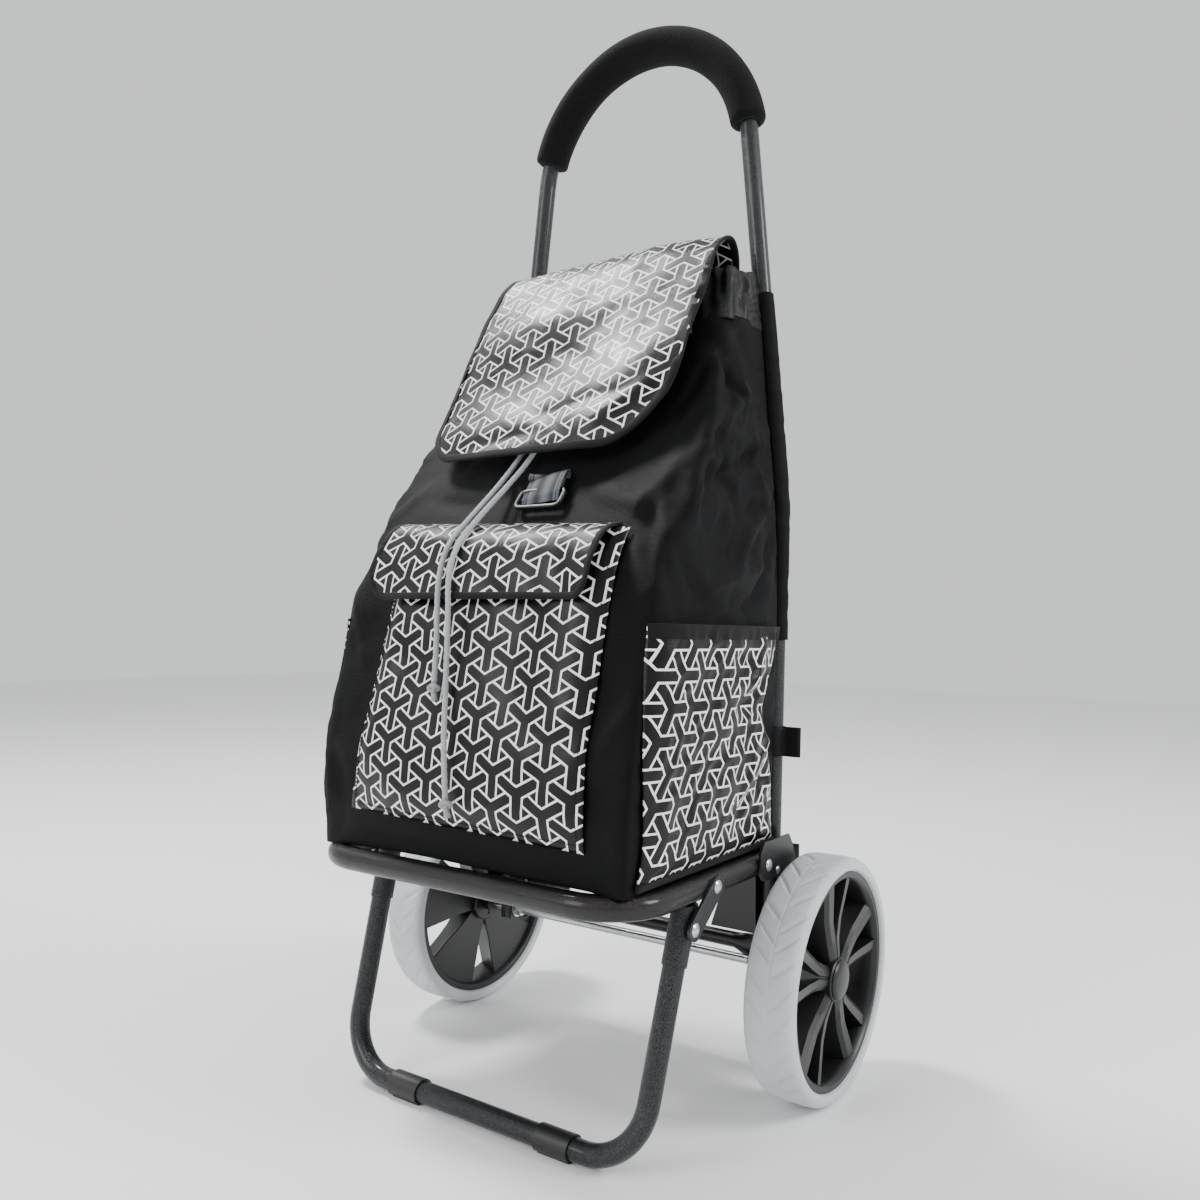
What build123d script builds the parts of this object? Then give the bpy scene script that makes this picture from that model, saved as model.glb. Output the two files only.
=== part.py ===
from build123d import *
import math
import os

# Two-wheeled shopping trolley with a folding platform and a cloth bag. Millimetres, +Z up, +Y to the
# back, X along the axle. The model is drawn with Y = 0 at the axle and moved by FRAME_Y when it is
# written, so that the origin lies on the floor below the middle of the whole trolley.
FRAME_Y = 69.75

# wheels and axle
WHEEL_R = 102.0
WHEEL_X = 198.6
TYRE_W = 44.0
RIM_R = 90.0
RIM_W = 37.4
BARREL_R = 82.0
HUB_R = 18.0
AXLE_R = 4.0
BORE_GAP = 0.06
AXLE_END = 213.0
SPOKES = 5
SPOKE_SPLAY = 11.0

# frame: handle tube, brackets and cross member
UPRIGHT_X = 150.0
UPRIGHT_R = 8.0
UPRIGHT_FOOT = 93.0
BEND_Z = 503.0
ARCH_R = 113.7
ARCH_Z = 815.0
TAPER = 6.5
GRIP_R = 16.0
GRIP_FROM, GRIP_TO = 9.6, 163.5
BRACKET_IN, BRACKET_OUT, SHEET = 139.7, 171.0, 2.0
CROSS_Y, CROSS_Z, CROSS_R = 12.6, 113.0, 7.0
CROSS_HALF = 109.9
GUSSET_X, GUSSET_Y = 139.2, 15.3
TUBE_WALL = 1.5
PIVOT_PIN_R, PIVOT_HEAD_R = 3.0, 5.0
FIXING_RIVET = (-29.5, 194.0)
FIXING_PIN_R, FIXING_HEAD_R = 1.9, 3.4
NUT_X, NUT_T, NUT_R = 131.6, 6.0, 6.4
WASHER_X, WASHER_T, WASHER_R = 138.6, 1.6, 8.0
SPACER_X, SPACER_W, SPACER_R = 175.2, 7.6, 7.0

# folding platform and front leg
PLATFORM_Z = 201.0
PLATFORM_R = 9.5
PLATFORM_X = 159.0
PLATFORM_FRONT = -232.0
PLATFORM_BEND = 46.0
PLATFORM_PIVOT_Y = -46.0
LEG_PIVOT_Y = -130.0
LEG_OFFSET = 20.2
LEG_LEAN = 14.7
LEG_R = 8.5
LEG_SLEEVE_R = 9.7
LEG_TOP_X = 157.0
LEG_FOOT_X = 150.0
LEG_FOOT_Z = 10.1
LEG_FOOT_Y = -201.0
LEG_BEND = 48.0
FOOT_SLEEVE_R = 10.1
FOOT_SLEEVE_X, FOOT_SLEEVE_W = 78.0, 32.0
PAD_SIZE = (30.0, 9.0, 1.6)
LEG_PIN_R, LINK_HEAD_R = 2.5, 5.2
LINK_IN, LINK_OUT, LINK_W = 168.9, 171.1, 17.0
LINK_LOW = (-161.5, 176.0)
LEG_TOP_Z, LEG_SLEEVE_Z = 205.0, 148.0
BOARD_SIZE, BOARD_Y, BOARD_Z = (270.0, 183.0, 3.0), -122.5, 214.7
SLIDE_GAP = 0.02
ACROSS = 400.0

# bag: front face (height, y) and half width at each height
BACK_Y = -13.6
STRAP_Z, STRAP_W = 298.0, 26.0
SLEEVE_FOOT, SLEEVE_TOP = 385.0, 683.0
CLOTH = 2.0
BAG_LEVELS = [
    (211.0, -228.0, 154.0, 9.0),
    (250.0, -231.0, 156.5, 11.0),
    (300.0, -228.0, 158.5, 12.0),
    (345.0, -217.0, 159.0, 14.0),
    (413.0, -203.0, 159.0, 18.0),
    (443.0, -193.0, 158.0, 20.0),
    (476.0, -174.0, 156.0, 22.0),
    (508.0, -151.0, 153.0, 24.0),
    (573.0, -107.0, 146.0, 26.0),
    (629.0, -77.0, 134.0, 26.0),
    (650.0, -67.0, 128.0, 24.0),
]
COLLAR_LEVELS = [(650.5, -65.0, 125.0, 20.0), (672.0, -58.0, 116.0, 18.0), (696.0, -50.0, 112.0, 16.0)]
LID_X = 117.0
LID_LINE = [(-15.5, 706.0), (-22.0, 722.0), (-40.0, 729.0), (-58.0, 721.0), (-84.0, 672.0),
            (-104.0, 630.0), (-122.0, 594.0), (-141.0, 558.0), (-152.0, 533.0)]
POCKET_X = (-114.0, 121.0)
POCKET_Z = (237.0, 462.0)
POCKET_FLAP_X = 115.0
POCKET_FLAP_Z = (414.0, 470.0)
SIDE_POCKET_Y = (-205.0, -22.0)
SIDE_POCKET_Z = (213.0, 398.0)
SIDE_POCKET_OUT = 167.0
CORD_R = 2.2

PARTS = {}


def keep(name, shape):
    """Files a finished piece under its node name, in the trolley's own frame."""
    PARTS[name] = shape.moved(Pos(0, FRAME_Y, 0))


def group(*solids):
    """Separate solids of one kind, kept as one node."""
    return Compound([s for solid in solids for s in solid.solids()])


def tube(path, radius, wall=0.0):
    """Round tube along a path, hollow when a wall is given."""
    ring = Circle(radius) - Circle(radius - wall) if wall else Circle(radius)
    return sweep(Plane(origin=path @ 0, z_dir=path % 0) * ring, path=path)


def x_disc(x, y, z, radius, width):
    """Disc or short cylinder lying along X, centred on a point."""
    return Pos(x, y, z) * Rot(0, 90, 0) * Cylinder(radius, width)


def side_plate(outline, x_low, x_high):
    """Sheet parallel to the YZ plane, from a closed (y, z) outline."""
    face = make_face(Polyline(*[(0, y, z) for y, z in outline], close=True))
    return Pos(x_low, 0, 0) * extrude(face, amount=x_high - x_low, dir=(1, 0, 0))


def strip_plate(start, end, width, x_low, x_high):
    """Flat bar with round ends between two (y, z) points."""
    length = math.dist(start, end)
    angle = math.degrees(math.atan2(end[1] - start[1], end[0] - start[0]))
    middle = ((start[0] + end[0]) / 2, (start[1] + end[1]) / 2)
    slot = Plane.YZ * Pos(*middle) * Rot(0, 0, angle) * SlotCenterToCenter(length, width)
    return Pos(x_low, 0, 0) * extrude(slot, amount=x_high - x_low, dir=(1, 0, 0))


def rivet(x_in, x_out, y, z, shank, head):
    """Rivet along X with a domed head on its outer end."""
    rise = 0.4 * head
    ball = (head ** 2 + rise ** 2) / (2 * rise)
    half = math.asin(head / ball) / 2
    crown = (x_out + rise - ball + ball * math.cos(half), ball * math.sin(half))
    outline = Polyline((x_out + rise, 0), (x_in, 0), (x_in, shank), (x_out, shank), (x_out, head))
    outline += ThreePointArc((x_out, head), crown, (x_out + rise, 0))
    return Pos(0, y, z) * revolve(make_face(outline), axis=Axis.X)


def mirrored(shape):
    """The same piece on the other side of the trolley."""
    return mirror(shape, about=Plane.YZ)


# ---- wheels ----

def tyre(side):
    """Foam tyre: a flat-topped ring with round shoulders on the rim."""
    half = TYRE_W / 2
    profile = Plane.XZ * (Pos(0, (WHEEL_R + RIM_R) / 2) * RectangleRounded(TYRE_W, WHEEL_R - RIM_R, 5.6))
    seat = Plane.XZ * (Pos(0, RIM_R + 1.4) * Rectangle(RIM_W + 1.0, 2.8))
    ring = revolve(profile + seat, axis=Axis.X, revolution_arc=360)
    return Pos(side * WHEEL_X, 0, WHEEL_R) * ring


def spoke_bar(angle, splay, x_low, x_high, root, tip):
    """Tapered spoke between hub and barrel, turned by its own splay about the hub."""
    outline = [(-root, HUB_R - 3), (root, HUB_R - 3), (tip, BARREL_R + 1), (-tip, BARREL_R + 1)]
    face = make_face(Polyline(*[(0, y, z) for y, z in outline], close=True))
    bar = Pos(x_low, 0, 0) * extrude(face, amount=x_high - x_low, dir=(1, 0, 0))
    return Rot(angle + splay, 0, 0) * bar


def rim(side):
    """One-piece plastic rim: barrel, hub, five pairs of outer spokes and five inner paddles."""
    barrel = Rot(0, 90, 0) * (Cylinder(RIM_R - 0.05, RIM_W) - Cylinder(BARREL_R, RIM_W + 2))
    hub = Rot(0, 90, 0) * Cylinder(HUB_R, 38)
    body = barrel + hub
    for k in range(SPOKES):
        angle = 360 / SPOKES * k
        for splay in (-SPOKE_SPLAY, SPOKE_SPLAY):
            body += spoke_bar(angle, splay, 6.0, 16.0, 4.5, 6.0)
        body += spoke_bar(angle, 0, -15.0, -5.0, 8.0, 17.0)
    body -= Rot(0, 90, 0) * Cylinder(AXLE_R + BORE_GAP, 60)
    turn = Rot(0, 0, 0) if side > 0 else Rot(0, 0, 180)
    return Pos(side * WHEEL_X, 0, WHEEL_R) * turn * body


def hub_cap(side):
    """Domed cap that covers the axle end."""
    cup = x_disc(3.5, 0, 0, HUB_R - 1.5, 7.0)
    crown = [e for e in cup.edges().filter_by(GeomType.CIRCLE) if e.center().X > 6]
    cup = fillet(crown, 2.5) - x_disc(1.5, 0, 0, 9.0, 5.0)
    face_x = WHEEL_X + 19.05
    cap = Pos(face_x, 0, WHEEL_R) * cup
    return cap if side > 0 else mirrored(cap)


def make_wheels():
    for side, name in ((1, "right"), (-1, "left")):
        keep(f"tyre_{name}", tyre(side))
        keep(f"wheel_rim_{name}", rim(side))
        keep(f"hub_cap_{name}", hub_cap(side))


# ---- back frame ----

def handle_path():
    """Centre line of the handle tube: up one side, over the arch and down the other."""
    lean = math.radians(TAPER)
    touch = (ARCH_R * math.cos(lean), 0, ARCH_Z + ARCH_R * math.sin(lean))
    bend = (UPRIGHT_X, 0, BEND_Z)
    foot = (UPRIGHT_X, 0, UPRIGHT_FOOT)
    top = (0, 0, ARCH_Z + ARCH_R)
    left = [(-x, y, z) for x, y, z in (foot, bend, touch)]
    lower = FilletPolyline(foot, bend, touch, radius=60)
    upper = FilletPolyline(left[2], left[1], left[0], radius=60)
    return lower + ThreePointArc(touch, top, left[2]) + upper


def arch_point(degrees):
    angle = math.radians(degrees)
    return (ARCH_R * math.cos(angle), 0, ARCH_Z + ARCH_R * math.sin(angle))


def foam_grip():
    """Foam sleeve over the arch of the handle, with rounded ends."""
    middle = (GRIP_FROM + GRIP_TO) / 2
    path = ThreePointArc(arch_point(GRIP_FROM), arch_point(middle), arch_point(GRIP_TO))
    return tube(path, GRIP_R, GRIP_R - UPRIGHT_R - 0.05)


def pivot_bracket(side):
    """Folded steel channel that joins the upright, the axle and the platform hinge."""
    inner = [(-56, 190), (-60, 196), (-60, 204), (-54, 208.5), (12, 208.5), (12, 93), (-9, 93), (-13, 186)]
    outer = [(-56, 190), (-61, 196), (-61, 213), (-54, 221), (-9, 221), (-2, 212), (12, 180), (12, 93),
             (-9, 93), (-13, 186)]
    web_z = (93, 208.5)
    plate_in = side_plate(inner, BRACKET_IN, BRACKET_IN + SHEET)
    plate_out = side_plate(outer, BRACKET_OUT - SHEET, BRACKET_OUT)
    width = BRACKET_OUT - BRACKET_IN
    web = Pos(BRACKET_IN + width / 2, 11, sum(web_z) / 2) * Box(width, SHEET, web_z[1] - web_z[0])
    body = plate_in + plate_out + web
    body -= x_disc(0, 0, WHEEL_R, AXLE_R + BORE_GAP, ACROSS)
    body -= x_disc(0, PLATFORM_PIVOT_Y, PLATFORM_Z, PIVOT_PIN_R + BORE_GAP, ACROSS)
    body -= x_disc(0, *FIXING_RIVET, FIXING_PIN_R + 0.1, ACROSS)
    return body if side > 0 else mirrored(body)


def cross_member():
    """Round tube between the brackets, flattened and flared where it is welded to them."""
    middle = Pos(0, CROSS_Y, CROSS_Z) * Rot(0, 90, 0) * Cylinder(CROSS_R, 2 * CROSS_HALF + 0.2)
    small = Plane(origin=(CROSS_HALF, CROSS_Y, CROSS_Z), x_dir=(0, 1, 0), z_dir=(1, 0, 0)) * Circle(CROSS_R)
    flat = Plane(origin=(GUSSET_X, CROSS_Y, CROSS_Z - 7), x_dir=(0, 1, 0), z_dir=(1, 0, 0))
    end = loft([small, flat * RectangleRounded(5.0, 34.0, 2.4)])
    return middle + end + mirrored(end)


def gusset(side):
    """Sheet gusset in the corner between the bracket and the cross member."""
    outline = [(GUSSET_X, 121), (GUSSET_X, 190), (96, 190), (91, 150), (82, 121)]
    face = make_face(Polyline(*[(x, GUSSET_Y, z) for x, z in outline], close=True))
    plate = extrude(face, amount=1.6, dir=(0, 1, 0))
    return plate if side > 0 else mirrored(plate)


def axle_nuts(side):
    """Washer and hexagon nut inside each bracket."""
    bore = x_disc(WASHER_X, 0, WHEEL_R, AXLE_R + SLIDE_GAP, 4 * NUT_T)
    washer = x_disc(WASHER_X, 0, WHEEL_R, WASHER_R, WASHER_T) - bore
    hexagon = Plane.YZ * RegularPolygon(NUT_R, 6)
    nut = Pos(NUT_X, 0, WHEEL_R) * extrude(hexagon, amount=NUT_T, dir=(1, 0, 0)) - bore
    return [washer, nut] if side > 0 else [mirrored(washer), mirrored(nut)]


def wheel_spacers(side):
    """Plain spacer between bracket and hub on the axle."""
    ring = x_disc(SPACER_X, 0, WHEEL_R, SPACER_R, SPACER_W)
    ring -= x_disc(SPACER_X, 0, WHEEL_R, AXLE_R + SLIDE_GAP, SPACER_W + 1)
    return ring if side > 0 else mirrored(ring)


def make_frame():
    frame = tube(handle_path(), UPRIGHT_R, TUBE_WALL)
    for side in (1, -1):
        frame -= x_disc(side * UPRIGHT_X, 0, WHEEL_R, AXLE_R + BORE_GAP, 30)
    keep("handle_tube", frame)
    keep("foam_grip", foam_grip())
    keep("cross_member", cross_member())
    keep("axle", x_disc(0, 0, WHEEL_R, AXLE_R, 2 * AXLE_END))
    keep("axle_nuts_and_washers", group(*axle_nuts(1), *axle_nuts(-1)))
    keep("wheel_spacers", group(wheel_spacers(1), wheel_spacers(-1)))
    pins = [rivet(BRACKET_IN - 2, BRACKET_OUT, PLATFORM_PIVOT_Y, PLATFORM_Z, PIVOT_PIN_R, PIVOT_HEAD_R)]
    small = [rivet(BRACKET_OUT - 6, BRACKET_OUT, *FIXING_RIVET, FIXING_PIN_R, FIXING_HEAD_R)]
    keep("platform_pivot_rivets", group(*pins, *[mirrored(p) for p in pins]))
    keep("bracket_rivets", group(*small, *[mirrored(p) for p in small]))
    for side, name in ((1, "right"), (-1, "left")):
        keep(f"pivot_bracket_{name}", pivot_bracket(side))
        keep(f"frame_gusset_{name}", gusset(side))


# ---- platform and leg ----

def platform_tube():
    """U-shaped tube that carries the bag, hinged at its two back ends."""
    back = PLATFORM_PIVOT_Y + 10
    points = [(PLATFORM_X, back, PLATFORM_Z), (PLATFORM_X, PLATFORM_FRONT, PLATFORM_Z),
              (-PLATFORM_X, PLATFORM_FRONT, PLATFORM_Z), (-PLATFORM_X, back, PLATFORM_Z)]
    body = tube(FilletPolyline(*points, radius=PLATFORM_BEND), PLATFORM_R, TUBE_WALL)
    body -= x_disc(0, PLATFORM_PIVOT_Y, PLATFORM_Z, PIVOT_PIN_R + BORE_GAP, ACROSS)
    return body - x_disc(0, LEG_PIVOT_Y, PLATFORM_Z, LEG_PIN_R + BORE_GAP, ACROSS)


def leg_line(height):
    """Y of the leg's centre line at a height, from its lean and its offset from the pivot."""
    lean = math.radians(LEG_LEAN)
    return LEG_PIVOT_Y - LEG_OFFSET / math.cos(lean) - (PLATFORM_Z - height) * math.tan(lean)


def leg_x(height):
    """Half spacing of the leg tubes, wider at the top."""
    rise = (height - LEG_FOOT_Z) / (PLATFORM_Z - LEG_FOOT_Z)
    return LEG_FOOT_X + (LEG_TOP_X - LEG_FOOT_X) * rise


def leg_point(height, side=1):
    return (side * leg_x(height), leg_line(height), height)


LEG_CUT_Z = PLATFORM_Z - PLATFORM_R - 0.4


def below_platform(shape):
    """Trims the slanted top of a leg piece level, just under the platform tube."""
    block = Pos(0, -150, LEG_CUT_Z + 50) * Box(500, 300, 100)
    return shape - block


def leg_tube():
    points = [leg_point(LEG_TOP_Z), leg_point(LEG_FOOT_Z), leg_point(LEG_FOOT_Z, -1),
              leg_point(LEG_TOP_Z, -1)]
    return below_platform(tube(FilletPolyline(*points, radius=LEG_BEND), LEG_R, 1.4))


def leg_sleeve(side):
    """Short outer tube that stiffens the riveted top of the leg."""
    path = Line(leg_point(LEG_TOP_Z, side), leg_point(LEG_SLEEVE_Z, side))
    return below_platform(tube(path, LEG_SLEEVE_R, LEG_SLEEVE_R - LEG_R - SLIDE_GAP))


def foot_sleeve(side):
    """Plastic sleeve on the bottom bar, with a flat wearing pad on the floor."""
    x, y = side * FOOT_SLEEVE_X, leg_line(LEG_FOOT_Z)
    ring = x_disc(x, y, LEG_FOOT_Z, FOOT_SLEEVE_R, FOOT_SLEEVE_W)
    pad = Pos(x, y, PAD_SIZE[2] / 2) * Box(*PAD_SIZE)
    below_floor = Pos(x, y, -5) * Box(60, 60, 10)
    return ring + pad - x_disc(x, y, LEG_FOOT_Z, LEG_R + 0.05, ACROSS) - below_floor


def link_plate(side):
    """Steel link, riveted to the leg and hinged on the platform tube."""
    plate = strip_plate((LEG_PIVOT_Y, PLATFORM_Z), LINK_LOW, LINK_W, LINK_IN, LINK_OUT)
    plate -= x_disc(LINK_IN, LEG_PIVOT_Y, PLATFORM_Z, LEG_PIN_R + BORE_GAP, LINK_W)
    plate -= x_disc(LINK_IN, *LINK_LOW, LEG_PIN_R, LINK_W)
    return plate if side > 0 else mirrored(plate)


def make_platform():
    keep("platform_tube", platform_tube())
    board = Pos(0, BOARD_Y, BOARD_Z) * Box(*BOARD_SIZE)
    keep("base_board", board)


def make_leg():
    keep("front_leg", leg_tube())
    for side, name in ((1, "right"), (-1, "left")):
        keep(f"leg_sleeve_{name}", leg_sleeve(side))
        keep(f"link_plate_{name}", link_plate(side))
        keep(f"foot_sleeve_{name}", foot_sleeve(side))
    top = rivet(PLATFORM_X - 10, LINK_OUT, LEG_PIVOT_Y, PLATFORM_Z, LEG_PIN_R, LINK_HEAD_R)
    low = rivet(LINK_IN - 2.5, LINK_OUT, *LINK_LOW, LEG_PIN_R - 0.05, LINK_HEAD_R)
    keep("link_rivets", group(top, low, mirrored(top), mirrored(low)))


# ---- bag ----

def level_face(level, inset=0.0):
    """Rounded outline of the bag at one height, with its back on the back panel."""
    z, front, half, corner = level
    depth = BACK_Y - front - 2 * inset
    shape = RectangleRounded(2 * (half - inset), depth, max(corner - inset, 3))
    return Pos(0, (front + BACK_Y) / 2, z) * shape


def stacked(levels, inset=0.0):
    return loft([level_face(level, inset) for level in levels], ruled=True)


def bag_body():
    """Cloth bag: a hollow, open-topped shell that leans back towards the handle."""
    hollow_levels = list(BAG_LEVELS)
    first, last = hollow_levels[0], hollow_levels[-1]
    hollow_levels[0] = (first[0] + CLOTH, *first[1:])
    hollow_levels[-1] = (last[0] + 0.5, *last[1:])
    return stacked(BAG_LEVELS) - stacked(hollow_levels, CLOTH)


def collar():
    """Drawstring collar round the mouth of the bag."""
    first, last = COLLAR_LEVELS[0], COLLAR_LEVELS[-1]
    bore = [(first[0] - 1, *first[1:]), *COLLAR_LEVELS[1:-1], (last[0] + 1, *last[1:])]
    return stacked(COLLAR_LEVELS) - stacked(bore, 5.0)


def front_y(z):
    """Y of the bag's front face at a height."""
    for (low, y_low, *_), (high, y_high, *_) in zip(BAG_LEVELS, BAG_LEVELS[1:]):
        if z <= high:
            return y_low + (y_high - y_low) * (z - low) / (high - low)
    return BAG_LEVELS[-1][1]


def front_band(x_low, x_high, z_low, z_high, near, far):
    """Panel that follows the bag's front between two distances in front of it."""
    heights = [z_low, *[lv[0] for lv in BAG_LEVELS if z_low < lv[0] < z_high], z_high]
    outline = [(front_y(z) - near, z) for z in heights] + [(front_y(z) - far, z) for z in heights[::-1]]
    return side_plate(outline, x_low, x_high)


def front_pocket():
    """Patch pocket on the front, open at its top."""
    x_low, x_high = POCKET_X
    z_low, z_high = POCKET_Z
    block = front_band(x_low, x_high, z_low, z_high, 0.4, 11.5)
    return block - front_band(x_low + 2, x_high - 2, z_low + 2, z_high + 1, 0.3, 9.5)


def pocket_flap():
    """Cover of the front pocket, hinged along its top seam."""
    z_low, z_high = POCKET_FLAP_Z
    heights = [z_low, 430.0, 450.0, z_high]
    proud = [19.0, 17.5, 14.5, 10.5]
    outline = [(front_y(z) - p, z) for z, p in zip(heights, proud)]
    outline += [(front_y(z) - p - 2.4, z) for z, p in zip(heights[::-1], proud[::-1])]
    return side_plate(outline, -POCKET_FLAP_X, POCKET_FLAP_X)


def side_pocket(side):
    """Patch pocket on one side, open at its top."""
    y_low, y_high = SIDE_POCKET_Y
    z_low, z_high = SIDE_POCKET_Z
    centre = ((159.4 + SIDE_POCKET_OUT) / 2, (y_low + y_high) / 2, (z_low + z_high) / 2)
    block = Pos(*centre) * Box(SIDE_POCKET_OUT - 159.4, y_high - y_low, z_high - z_low)
    room = Pos(centre[0] - 1.6, centre[1], centre[2] + 2)
    cavity = room * Box(SIDE_POCKET_OUT - 159.4, y_high - y_low - 4, z_high - z_low)
    pocket = block - cavity
    return pocket if side > 0 else mirrored(pocket)


def ribbon(line, half):
    """Closed outline of a strip of even thickness about an open (y, z) line."""
    sides = ([], [])
    for k, (y, z) in enumerate(line):
        (y0, z0), (y1, z1) = line[max(k - 1, 0)], line[min(k + 1, len(line) - 1)]
        length = math.hypot(y1 - y0, z1 - z0)
        across = (-(z1 - z0) / length * half, (y1 - y0) / length * half)
        sides[0].append((y + across[0], z + across[1]))
        sides[1].append((y - across[0], z - across[1]))
    return sides[0] + sides[1][::-1]


def lid():
    """Stiff cover that arches over the mouth and hangs down the front."""
    sheet = side_plate(ribbon(LID_LINE, 1.2), -LID_X, LID_X)
    corner = 48.0
    front = Plane.XZ * Pos(0, (533 + 760) / 2) * Rectangle(2 * LID_X, 760 - 533 + 6)
    rounded = fillet(front.vertices().sort_by(Axis.Z)[:2], corner)
    blank = extrude(rounded, amount=400, both=True)
    return sheet & blank


def back_panel():
    """Flat back of the bag, which spans the two uprights."""
    outline = [(-150, 211), (150, 211), (150, 503), (127.5, 703), (-127.5, 703), (-150, 503)]
    face = make_face(Polyline(*[(x, -13.2, z) for x, z in outline], close=True))
    return extrude(face, amount=1.8, dir=(0, 1, 0))


def upright_sleeve(side):
    """Cloth sleeve that ties the bag's back to one upright."""
    lean = math.radians(TAPER)
    foot, bend = (UPRIGHT_X, 0, SLEEVE_FOOT), (UPRIGHT_X, 0, BEND_Z)
    top = (UPRIGHT_X - (SLEEVE_TOP - BEND_Z) * math.tan(lean), 0, SLEEVE_TOP)
    sleeve = tube(FilletPolyline(foot, bend, top, radius=60), UPRIGHT_R + 2.1, 1.9)
    return sleeve if side > 0 else mirrored(sleeve)


def strap(side):
    """Webbing loop that holds the lower bag to one upright; the right one's end stands out as a tab."""
    outside, inside = Cylinder(UPRIGHT_R + 2.0, STRAP_W), Cylinder(UPRIGHT_R + 0.2, STRAP_W + 4)
    loop = Pos(side * UPRIGHT_X, 0, STRAP_Z) * (outside - inside)
    if side < 0:
        return loop
    return loop + Pos(UPRIGHT_X + 17.5, 0, STRAP_Z) * Box(16, 3.0, STRAP_W)


def webbing_and_buckle():
    """Folded webbing and its slide buckle on the bag front under the lid."""
    web = front_band(6, 46, 486, 520, 0.6, 3.6)
    buckle = front_band(2, 50, 493, 506, 3.9, 8.0)
    return web, buckle


def make_bag():
    keep("bag_body", bag_body())
    keep("drawstring_collar", collar())
    keep("back_panel", back_panel())
    keep("front_pocket", front_pocket())
    keep("pocket_flap", pocket_flap())
    keep("top_lid", lid())
    web, buckle = webbing_and_buckle()
    keep("front_webbing", web)
    keep("slide_buckle", buckle)
    for side, name in ((1, "right"), (-1, "left")):
        keep(f"side_pocket_{name}", side_pocket(side))
        keep(f"upright_sleeve_{name}", upright_sleeve(side))
        keep(f"frame_strap_{name}", strap(side))


# ---- drawstring ends ----
# Each route starts at an eyelet in the collar, runs down under the lid and hangs over the pocket.

EYELET_Y, EYELET_Z = -62.6, 672.0
LEFT_CORD = [(-6, -64.6, 672), (-6, -72, 669), (-6.5, -78, 655), (-8, -91, 628), (-11, -108, 593), (-15, -126, 558),
             (-20, -146, 527), (-22, -167, 504), (-26, -190, 480), (-31, -212, 456), (-27, -225, 430), (-25, -228, 402),
             (-24, -229, 375), (-21, -234, 348)]
RIGHT_CORD = [(8, -64.6, 672), (8, -72, 669), (7.5, -78, 655), (5, -91, 628), (1, -108, 593), (-3, -126, 558),
              (-7, -146, 527), (-12, -169, 502), (-17, -192, 478), (-21, -213, 454), (-16, -226, 429), (-11, -230, 402),
              (-11, -231, 372), (-8, -235, 337), (-1, -243.5, 300), (6, -247.5, 264)]
KNOT_R = 5.0


def cord(name, route):
    """Free cord: straight runs joined by arcs as large as the runs allow."""
    radii = []
    for before, here, after in zip(route, route[1:], route[2:]):
        turn = (Vector(*here) - Vector(*before)).get_angle(Vector(*after) - Vector(*here))
        run = min(math.dist(before, here), math.dist(here, after))
        radii.append(0.45 * run / math.tan(math.radians(turn / 2)))
    path = FilletPolyline(*route, radius=radii)
    body = tube(path, CORD_R)
    print(name, "length", round(path.length, 1), "radii", [round(r) for r in radii],
          "volume ratio", round(body.volume / (path.length * math.pi * CORD_R ** 2), 3))
    return body


def knot(route):
    """Knot at the free end of a cord, touching the cord's cut face."""
    before, end = Vector(*route[-2]), Vector(*route[-1])
    along = (end - before).normalized()
    ball = Pos(*(end + along * KNOT_R * 0.9)) * Sphere(KNOT_R)
    return ball - extrude(Plane(origin=end, z_dir=along) * Rectangle(40, 40), amount=-20)


def eyelet(x):
    """Metal eyelet in the collar, where a cord comes out."""
    y = EYELET_Y
    ring = Pos(x, y, EYELET_Z) * Rot(90, 0, 0) * (Cylinder(5.5, 2.0) - Cylinder(3.0, 4.0))
    return ring


def make_cords():
    keep("eyelets", group(eyelet(-6), eyelet(8)))
    for name, route in (("left", LEFT_CORD), ("right", RIGHT_CORD)):
        keep(f"drawstring_{name}", cord(name, route))
        keep(f"cord_knot_{name}", knot(route))


def main():
    make_wheels()
    make_frame()
    make_platform()
    make_leg()
    make_bag()
    make_cords()
    os.makedirs("parts", exist_ok=True)
    for name, shape in PARTS.items():
        export_step(shape, f"parts/{name}.step")


main()
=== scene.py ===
import math
import bpy
import numpy as np
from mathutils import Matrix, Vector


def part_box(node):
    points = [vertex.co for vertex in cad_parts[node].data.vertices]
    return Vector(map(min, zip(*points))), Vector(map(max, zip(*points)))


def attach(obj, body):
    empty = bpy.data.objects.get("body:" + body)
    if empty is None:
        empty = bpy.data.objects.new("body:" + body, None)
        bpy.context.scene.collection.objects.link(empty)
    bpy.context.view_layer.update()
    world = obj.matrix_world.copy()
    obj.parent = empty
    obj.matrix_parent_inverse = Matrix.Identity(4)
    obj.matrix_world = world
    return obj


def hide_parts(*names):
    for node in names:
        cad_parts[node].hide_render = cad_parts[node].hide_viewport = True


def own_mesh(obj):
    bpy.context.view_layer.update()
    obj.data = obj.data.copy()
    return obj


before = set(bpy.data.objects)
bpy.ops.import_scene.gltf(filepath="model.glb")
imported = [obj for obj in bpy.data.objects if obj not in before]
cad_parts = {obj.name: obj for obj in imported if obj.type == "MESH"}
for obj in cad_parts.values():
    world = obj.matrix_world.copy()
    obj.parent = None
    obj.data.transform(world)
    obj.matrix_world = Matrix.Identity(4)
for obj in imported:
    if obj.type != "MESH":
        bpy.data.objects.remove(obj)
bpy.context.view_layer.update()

# ---- studio ----
# A pale floor, a soft key light above the left shoulder, and weaker fills from the front and the right. The
# trolley's lengths are written in millimetres from the axle, as its maker would measure them.

AXLE_Y = (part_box("axle")[0].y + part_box("axle")[1].y) / 2


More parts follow.
